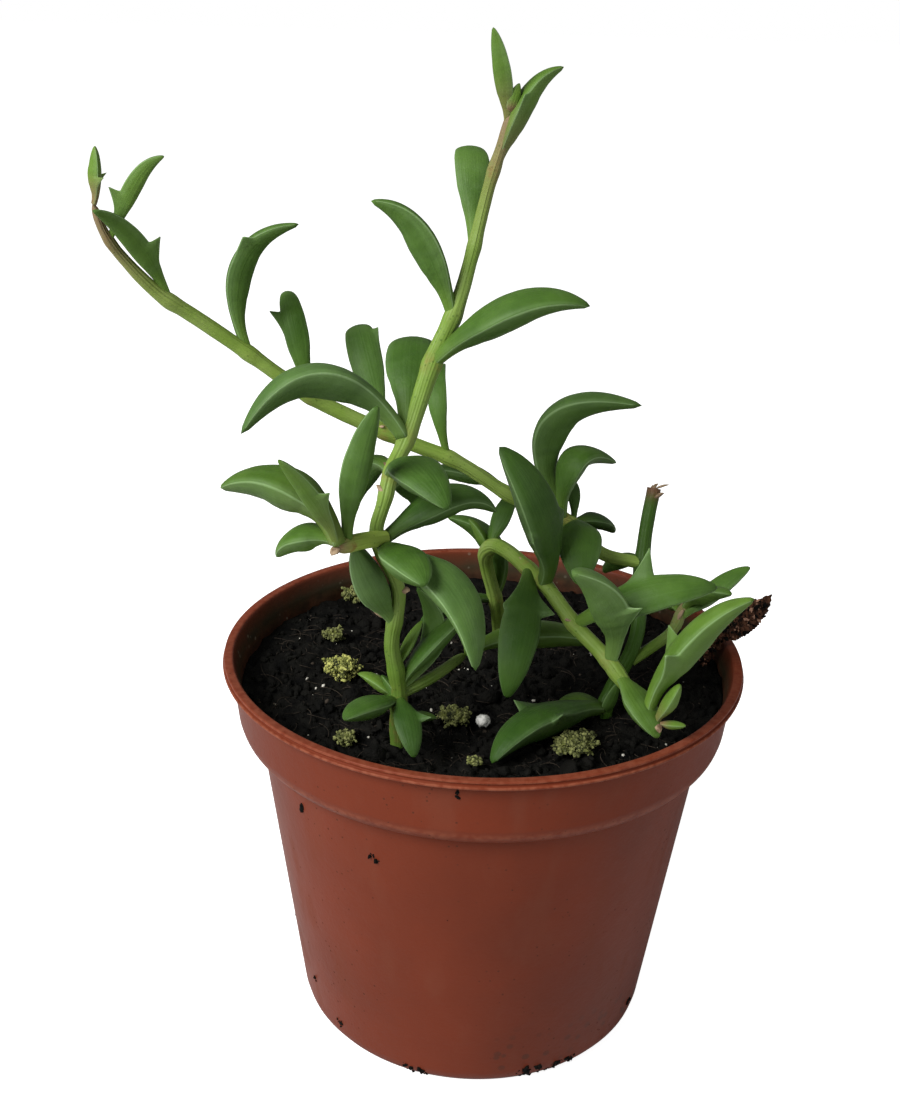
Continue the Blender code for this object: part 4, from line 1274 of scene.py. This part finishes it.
stem_recipe, sizes = new_recipe("stem", {"Sides": STEM_SIDES, "Dents": 0.12 * MM})
curve = add_node(stem_recipe, "GeometryNodeMeshToCurve", Mesh=sizes["Geometry"])
circle = add_node(stem_recipe, "GeometryNodeCurvePrimitiveCircle", Resolution=sizes["Sides"], Radius=1)
here = add_node(stem_recipe, "GeometryNodeInputPosition")
tube = add_node(
    stem_recipe, "GeometryNodeCurveToMesh", Curve=curve,
    Profile_Curve=store(stem_recipe, circle, "around", here),
    Scale=attribute(stem_recipe, "girth"), Fill_Caps=True,
)
welded = add_node(stem_recipe, "GeometryNodeMergeByDistance", Geometry=tube, Distance=WELD_REACH)
outward = add_node(stem_recipe, "GeometryNodeInputNormal")
dent = (cloudiness(here, 420) - 0.5) * sizes["Dents"]
dented = add_node(stem_recipe, "GeometryNodeSetPosition", Geometry=welded, Offset=outward * dent)
end_recipe(stem_recipe, dented, stem_skin)


def fading(distance, reach):
    """1 at a distance of 0, and next to nothing at twice the reach."""
    return math.exp(-((distance / reach) ** 2))


def in_columns(rows):
    """Turns rows, each a value by name, into one list for each name."""
    return {label: [row[label] for row in rows] for label in rows[0]}


def stem_seeds(name, branches, draw):
    """The chains of edges for one plant, with the radius and the skin's marks at each point."""
    marks, points, edges = [], [], []
    for route_points, leaves in branches:
        route = smooth_route(route_points, TUBE_STEP)
        places = distances(route)
        nodes = [(leaf.along * MM, draw.random()) for leaf in leaves]
        broken = route_points in BROKEN_STEMS
        flushed = FLUSHES.get(route_points)
        age = STEM_AGES_AND_LIGHT.get(route_points, 0.4)
        first = len(points)
        for (x, y, z, thickness), place in zip(route, places):
            left = places[-1] - place
            near = max((fading(place - node, NODE_REACH) for node, mark in nodes), default=0.0)
            dome = 1 if broken else math.sqrt(min(1.0, left / TIP_DOME + 0.02))
            low = 1 if broken else np.interp(z, (OLD_HEIGHT, YOUNG_HEIGHT), (1.0, 0.0))
            scars = [fading(place - node, NODE_REACH) * mark**2 for node, mark in nodes]
            points.append((x, y, z))
            marks.append({
                "girth": thickness / 2 * (1 + NODE_SWELLING * near) * dome,
                "age": age * low if age > 0 else age,
                "scar": max(scars, default=0.0),
                "flush": fading(left, flushed) if flushed else 0.0,
                "dry": fading(left, DRY_REACH) if broken else 0.0,
            })
        edges += [(i, i + 1) for i in range(first, len(points) - 1)]
    return seed_mesh(name, points, edges, in_columns(marks))


stem_draw = random.Random(23)
for plant, branches in PLANTS.items():
    seeds = stem_seeds(plant, branches, stem_draw)
    stems = follow_recipe(f"{plant}_stems", seeds, stem_recipe, {})
    finish_piece(stems, None, [plant])

# %% [markdown]
# ## A recipe for leaves
# All the leaves are one rule with other numbers, so Geometry Nodes can make them together. A flat grid
# stands for the leaf's skin: one way along the leaf, the other way once round it. Every seed point gets
# a copy of that grid, and each point of the copy is then sent to its place on the leaf. The last column
# of points is sent to where the first one goes, so that the skin can be welded shut. The middle line
# is a Bezier curve that leaves the stem and bends over, the cross-section is a low back above a deep
# keel, and the fins are pulled out of the two edges, slowly on the root's side and steeply on the tip's.

# %% The leaf recipe
LEAF_RINGS = 64
LEAF_SIDES = 27
SEAM = 0.999
LEAF_WIDTH_START = 1.2 * MM
LEAF_WIDTH_RATE = 0.2
LEAF_HANDLE = 0.27
END_STEEPNESS = 80
BACK_POWER = 1.12
KEEL_POWER = 1.38
FIN_REACH = 0.75
FIN_RISE = 0.16
FIN_FALL = 0.05
FIN_RISE_POWER = 2
FIN_FALL_POWER = 1.3
FIN_EDGE_POWER = 16
FIN_TILT = math.radians(40)
FIN_SWEEP = 0.4
RING_CROWDING = 0.45
EDGE_CROWDING = 0.5
WIDTHS = ((0, 0.34), (0.14, 0.42), (0.30, 0.72), (0.44, 0.97), (0.55, 1.0), (0.70, 0.88), (0.85, 0.62),
          (0.95, 0.32), (1, 0.09))
CROWNS = ((0, 0.30), (0.30, 0.32), (0.50, 0.34), (0.70, 0.30), (0.85, 0.24), (0.95, 0.14), (1, 0.05))
KEELS = ((0, 0.34), (0.14, 0.46), (0.30, 0.86), (0.44, 1.15), (0.55, 1.18), (0.70, 1.0), (0.85, 0.68),
         (0.95, 0.35), (1, 0.10))


def leaf_tree(name, material):
    tree, sizes = new_recipe(name, {"Rings": LEAF_RINGS, "Sides": LEAF_SIDES, "Unevenness": 0.12})
    grid = add_node(
        tree, "GeometryNodeMeshGrid",
        Size_X=1, Size_Y=1, Vertices_X=sizes["Rings"], Vertices_Y=sizes["Sides"],
    )
    flat = add_node(tree, "GeometryNodeInputPosition")
    blank = store(tree, grid, "blank", flat + (0.5, 0.5, 0))
    copies = add_node(tree, "GeometryNodeInstanceOnPoints", Points=sizes["Geometry"], Instance=blank)
    real = add_node(tree, "GeometryNodeRealizeInstances", Geometry=copies)
    skew, fins_at, fins, fin_bias, tint = [
        attribute(tree, label) for label in ("skew", "fins_at", "fins", "fin_bias", "tint")
    ]
    root, chord, over, blank_place = [
        attribute(tree, label, vector=True) for label in ("root", "chord", "over", "blank")
    ]

    x, t, _ = blank_place.parts()
    t = t * reckon("LESS_THAN", t, SEAM)
    crowd = reckon("SINE", (x - fins_at) * TURN) + reckon("SINE", fins_at * TURN)
    u = x - crowd * (RING_CROWDING / TURN)
    rest = 1 - u
    angle = (t - reckon("SINE", t * (2 * TURN)) * (EDGE_CROWDING / (2 * TURN))) * TURN
    cosine = reckon("COSINE", angle)
    sine = reckon("SINE", angle)

    lift = attribute(tree, "lift") * 4
    start = rest**2 * u * (3 * LEAF_HANDLE)
    end = rest * u**2 * (3 * (1 - LEAF_HANDLE))
    raised = over * (lift * u * rest * (skew * (u - rest) + 1))
    spine = root + chord * (start + end + u**3) + raised
    pace = (rest**2 + u**2) * LEAF_HANDLE + rest * u * (2 - 4 * LEAF_HANDLE)
    early = (1 - skew) * rest * (rest - u * 2)
    late = (skew + 1) * u * (rest * 2 - u)
    forward = reckon("NORMALIZE", chord * (pace * 3) + over * (lift * (early + late)))
    side = reckon("NORMALIZE", reckon("CROSS_PRODUCT", chord, over))
    up = reckon("CROSS_PRODUCT", side, forward)

    wander = cloudiness(vector_of(tree, u * 4, tint * 9, angle * 0.35), 1.0) - 0.5
    closing = reckon("MINIMUM", u * END_STEEPNESS, 1) * reckon("MINIMUM", rest * END_STEEPNESS, 1)
    half = attribute(tree, "half") * (wander * sizes["Unevenness"] + 1) * closing
    below = reckon("LESS_THAN", sine, 0)
    power = below * (KEEL_POWER - BACK_POWER) + BACK_POWER
    wide = reckon("SIGN", cosine) * reckon("ABSOLUTE", cosine) ** power
    high = reckon("SIGN", sine) * reckon("ABSOLUTE", sine) ** power
    depth = curve_of(u, CROWNS) * (1 - below) + curve_of(u, KEELS) * below
    skin_place = spine + side * (half * curve_of(u, WIDTHS) * wide) + up * (half * depth * high)

    rise = 1 - held((fins_at - u) / FIN_RISE)
    fall = 1 - held((u - fins_at) / FIN_FALL)
    edge = reckon("ABSOLUTE", cosine) ** FIN_EDGE_POWER
    hand = reckon("SIGN", cosine)
    lopsided = reckon("MINIMUM", fin_bias * hand + 1, 1)
    reach = half * FIN_REACH * fins * rise**FIN_RISE_POWER * fall**FIN_FALL_POWER * edge * lopsided
    lean = side * (hand * math.cos(FIN_TILT)) + up * math.sin(FIN_TILT) + forward * FIN_SWEEP
    placed = add_node(tree, "GeometryNodeSetPosition", Geometry=real, Position=skin_place + lean * reach)
    noted = store(tree, placed, "skin", vector_of(tree, cosine, sine, u))
    welded = add_node(tree, "GeometryNodeMergeByDistance", Geometry=noted, Distance=WELD_REACH)
    end_recipe(tree, welded, material)
    return tree


leaf_recipe = leaf_tree("leaf spray", leaf_skin)
print("leaf recipe:", len(leaf_recipe.nodes), "nodes")

# %% [markdown]
# ## Grow the leaves
# Each row of the lists becomes one seed point. Its arrows are worked out here: the straight line to the
# tip, and the direction that the leaf arches towards, rolled about that line.

# %% Leaves on every stem
YOUNG_LENGTH = 9.0
YOUNG_LIGHT = 0.55


def leaf_arrows(leaf):
    """The line from root to tip, and the unit vector that the leaf arches towards."""
    heading, rise = math.radians(leaf.heading), math.radians(leaf.rise)
    east, north = math.cos(heading), math.sin(heading)
    chord = Vector((east * math.cos(rise), north * math.cos(rise), math.sin(rise)))
    over = Vector((-east * math.sin(rise), -north * math.sin(rise), math.cos(rise)))
    over = Matrix.Rotation(math.radians(leaf.roll), 3, chord) @ over
    return chord * (leaf.length * MM), over


def leaf_seeds(name, branches, draw):
    """One point for each leaf, with all that the leaf recipe and the skin need to know."""
    rows = []
    for route_points, leaves in branches:
        route = smooth_route(route_points, LEAF_ROUTE_STEP)
        whole = distances(route)[-1]
        for leaf in leaves:
            chord, over = leaf_arrows(leaf)
            newest = max(0.0, leaf.along * MM / whole - 0.75) * 2
            small = YOUNG_LIGHT if leaf.length < YOUNG_LENGTH else 0
            row = {"root": point_along(route, leaf.along * MM), "chord": chord, "over": over}
            row["half"] = leaf.plump * (LEAF_WIDTH_START + LEAF_WIDTH_RATE * leaf.length * MM) / 2
            row["lift"] = leaf.arch * leaf.length * MM
            row["youth"] = max(newest * 0.7, small)
            row["tint"] = draw.random()
            for label in ("skew", "fins", "fins_at", "fin_bias", "tone", "blush"):
                row[label] = float(getattr(leaf, label))
            rows.append(row)
    return seed_mesh(name, [tuple(row["root"]) for row in rows], [], in_columns(rows))


leaf_draw = random.Random(11)
for plant, branches in PLANTS.items():
    leaves = follow_recipe(f"{plant}_leaves", leaf_seeds(plant, branches, leaf_draw), leaf_recipe, {})
    finish_piece(leaves, None, [plant])

# %% [markdown]
# ## Dried scales and torn ends
# Where a leaf has withered, a thin brown scale stays on the stem, and the broken stem ends in torn, pale
# fibres round its rim. A scale is a leaf that has lost its water, so the leaf recipe makes it too, as a
# narrow leaf with a coarse grid, in a dry skin. Its rows are written like those of the leaves.

# %% Dried scales
SCALE_RINGS = 14
SCALE_SIDES = 9
TORN_COUNT = 11


def stem_end(route_points):
    """How far along a stem its end is, in millimetres."""
    return distances(smooth_route(route_points, LEAF_ROUTE_STEP))[-1] / MM


TORN_AT = stem_end(RIGHT_TRUNK) - 0.3


def torn_rim(draw):
    """Fibres round the rim of the broken stem."""
    fibres = []
    for k in range(TORN_COUNT):
        heading = 360 * k / TORN_COUNT + draw.uniform(-12, 12)
        rise, length, plump = draw.uniform(40, 85), draw.uniform(0.5, 1.3), draw.uniform(0.3, 0.6)
        fibres.append(Leaf(TORN_AT, heading, rise, length, 0.2, plump=plump))
    return tuple(fibres)


DRIED = {
    "tall_stem": (
        (TALL_STEM, (
            Leaf(19.5, 40, 70, 4.5, 0.1, plump=0.8), Leaf(21, 25, 84, 6, 0.1, plump=0.35),
            Leaf(34.5, 205, 28, 3.9, 0.1, plump=0.8), Leaf(39.6, 335, 15, 1.9, 0.2, plump=0.9),
            Leaf(56, 180, 60, 2.4, 0.2, plump=0.7), Leaf(59.5, 150, 50, 2.0, 0.2, plump=0.6),
            Leaf(94, 20, 60, 1.6, 0.2, plump=0.6),
        )),
        (ROSETTE_SHOOT, (Leaf(9.5, 215, -35, 1.8, 0.2, plump=1.0), Leaf(10.2, 250, -20, 1.6, plump=0.9))),
    ),
    "arching_stem": (
        (ARCHING_STEM, (
            Leaf(49, 140, 40, 2.0, 0.2, plump=0.6), Leaf(62.5, 200, 30, 2.0, 0.2, plump=0.6),
            Leaf(84, 280, -10, 2.2, 0.2, plump=0.7),
        )),
    ),
    "branching_stem": (
        (RIGHT_TRUNK, torn_rim(random.Random(8)) + (
            Leaf(TORN_AT, 5, 20, 2.6, 0.1, plump=0.3), Leaf(TORN_AT - 2.4, 345, 48, 3.0, 0.2, plump=0.6),
            Leaf(16, 60, 30, 2.4, 0.2, plump=0.7),
        )),
        (LONG_BRANCH, (Leaf(47, 290, 30, 1.8, 0.2, plump=0.6), Leaf(71, 200, 40, 1.8, 0.2, plump=0.5))),
        (RIGHT_TWIG, (Leaf(9, 20, 60, 3.0, 0.1, plump=0.6),)),
    ),
}
scale_recipe = leaf_tree("dried scales", dried_skin)
scale_draw = random.Random(31)
for plant, branches in DRIED.items():
    seeds = leaf_seeds(plant, branches, scale_draw)
    sizes = {"Rings": SCALE_RINGS, "Sides": SCALE_SIDES}
    scales = follow_recipe(f"{plant}_dried_scales", seeds, scale_recipe, sizes)
    finish_piece(scales, None, [plant])

# %% [markdown]
# ## Light and floor
# The object stands on a plain white floor in even studio light: a large soft lamp at the upper left, a
# weaker one at the right, and a bright surrounding. The surrounding is white for the camera, and less
# bright as a light, so that the undersides of the leaves can go dark.

# %% Studio
FLOOR_SIZE = 6.0
FLOOR_DROP = 0.02 * MM
FLOOR_WHITE = (0.60, 0.60, 0.60, 1)
FLOOR_LIFT = 1.45
LIT_HEIGHT = 80 * MM
SURROUNDING_LIGHT = 0.24
SOFTBOXES = (
    ("softbox left", (-0.55, -0.45, 0.62), 0.45, 14.0),
    ("softbox right", (0.60, -0.30, 0.40), 0.45, 1.2),
)


def make_floor():
    bm = bmesh.new()
    bmesh.ops.create_grid(bm, x_segments=1, y_segments=1, size=FLOOR_SIZE / 2)
    bmesh.ops.translate(bm, verts=bm.verts, vec=(0, 0, -FLOOR_DROP))
    material, tree, shader, _ = new_finish(
        "floor", Base_Color=FLOOR_WHITE, Roughness=0.9, Specular_IOR_Level=0, Emission_Color=FLOOR_WHITE,
    )
    plug(tree, shader.inputs["Emission Strength"], add_node(tree, "ShaderNodeLightPath") * FLOOR_LIFT)
    floor = show("floor", mesh_of("floor", bm))
    floor.data.materials.append(material)
    return floor


def add_softbox(name, place, size, power):
    """A square lamp that faces the middle of the object."""
    lamp = bpy.data.lights.new(name, "AREA")
    lamp.size = size
    lamp.energy = power
    item = show(name, lamp)
    item.location = place
    item.rotation_euler = (Vector((0, 0, LIT_HEIGHT)) - Vector(place)).to_track_quat("-Z", "Y").to_euler()


def light_surroundings(strength):
    """White behind the object, and a dimmer white as a light."""
    world = bpy.data.worlds.new("surroundings")
    world.use_nodes = True
    tree = world.node_tree
    back = tree.nodes["Background"]
    back.inputs["Color"].default_value = (1, 1, 1, 1)
    seen_by_camera = add_node(tree, "ShaderNodeLightPath")
    plug(tree, back.inputs["Strength"], seen_by_camera * (1 - strength) + strength)
    scene.world = world


make_floor()
for softbox in SOFTBOXES:
    add_softbox(*softbox)
light_surroundings(SURROUNDING_LIGHT)
scene.view_settings.view_transform = "Standard"
print("lamps:", len([item for item in scene.objects if item.type == "LIGHT"]))
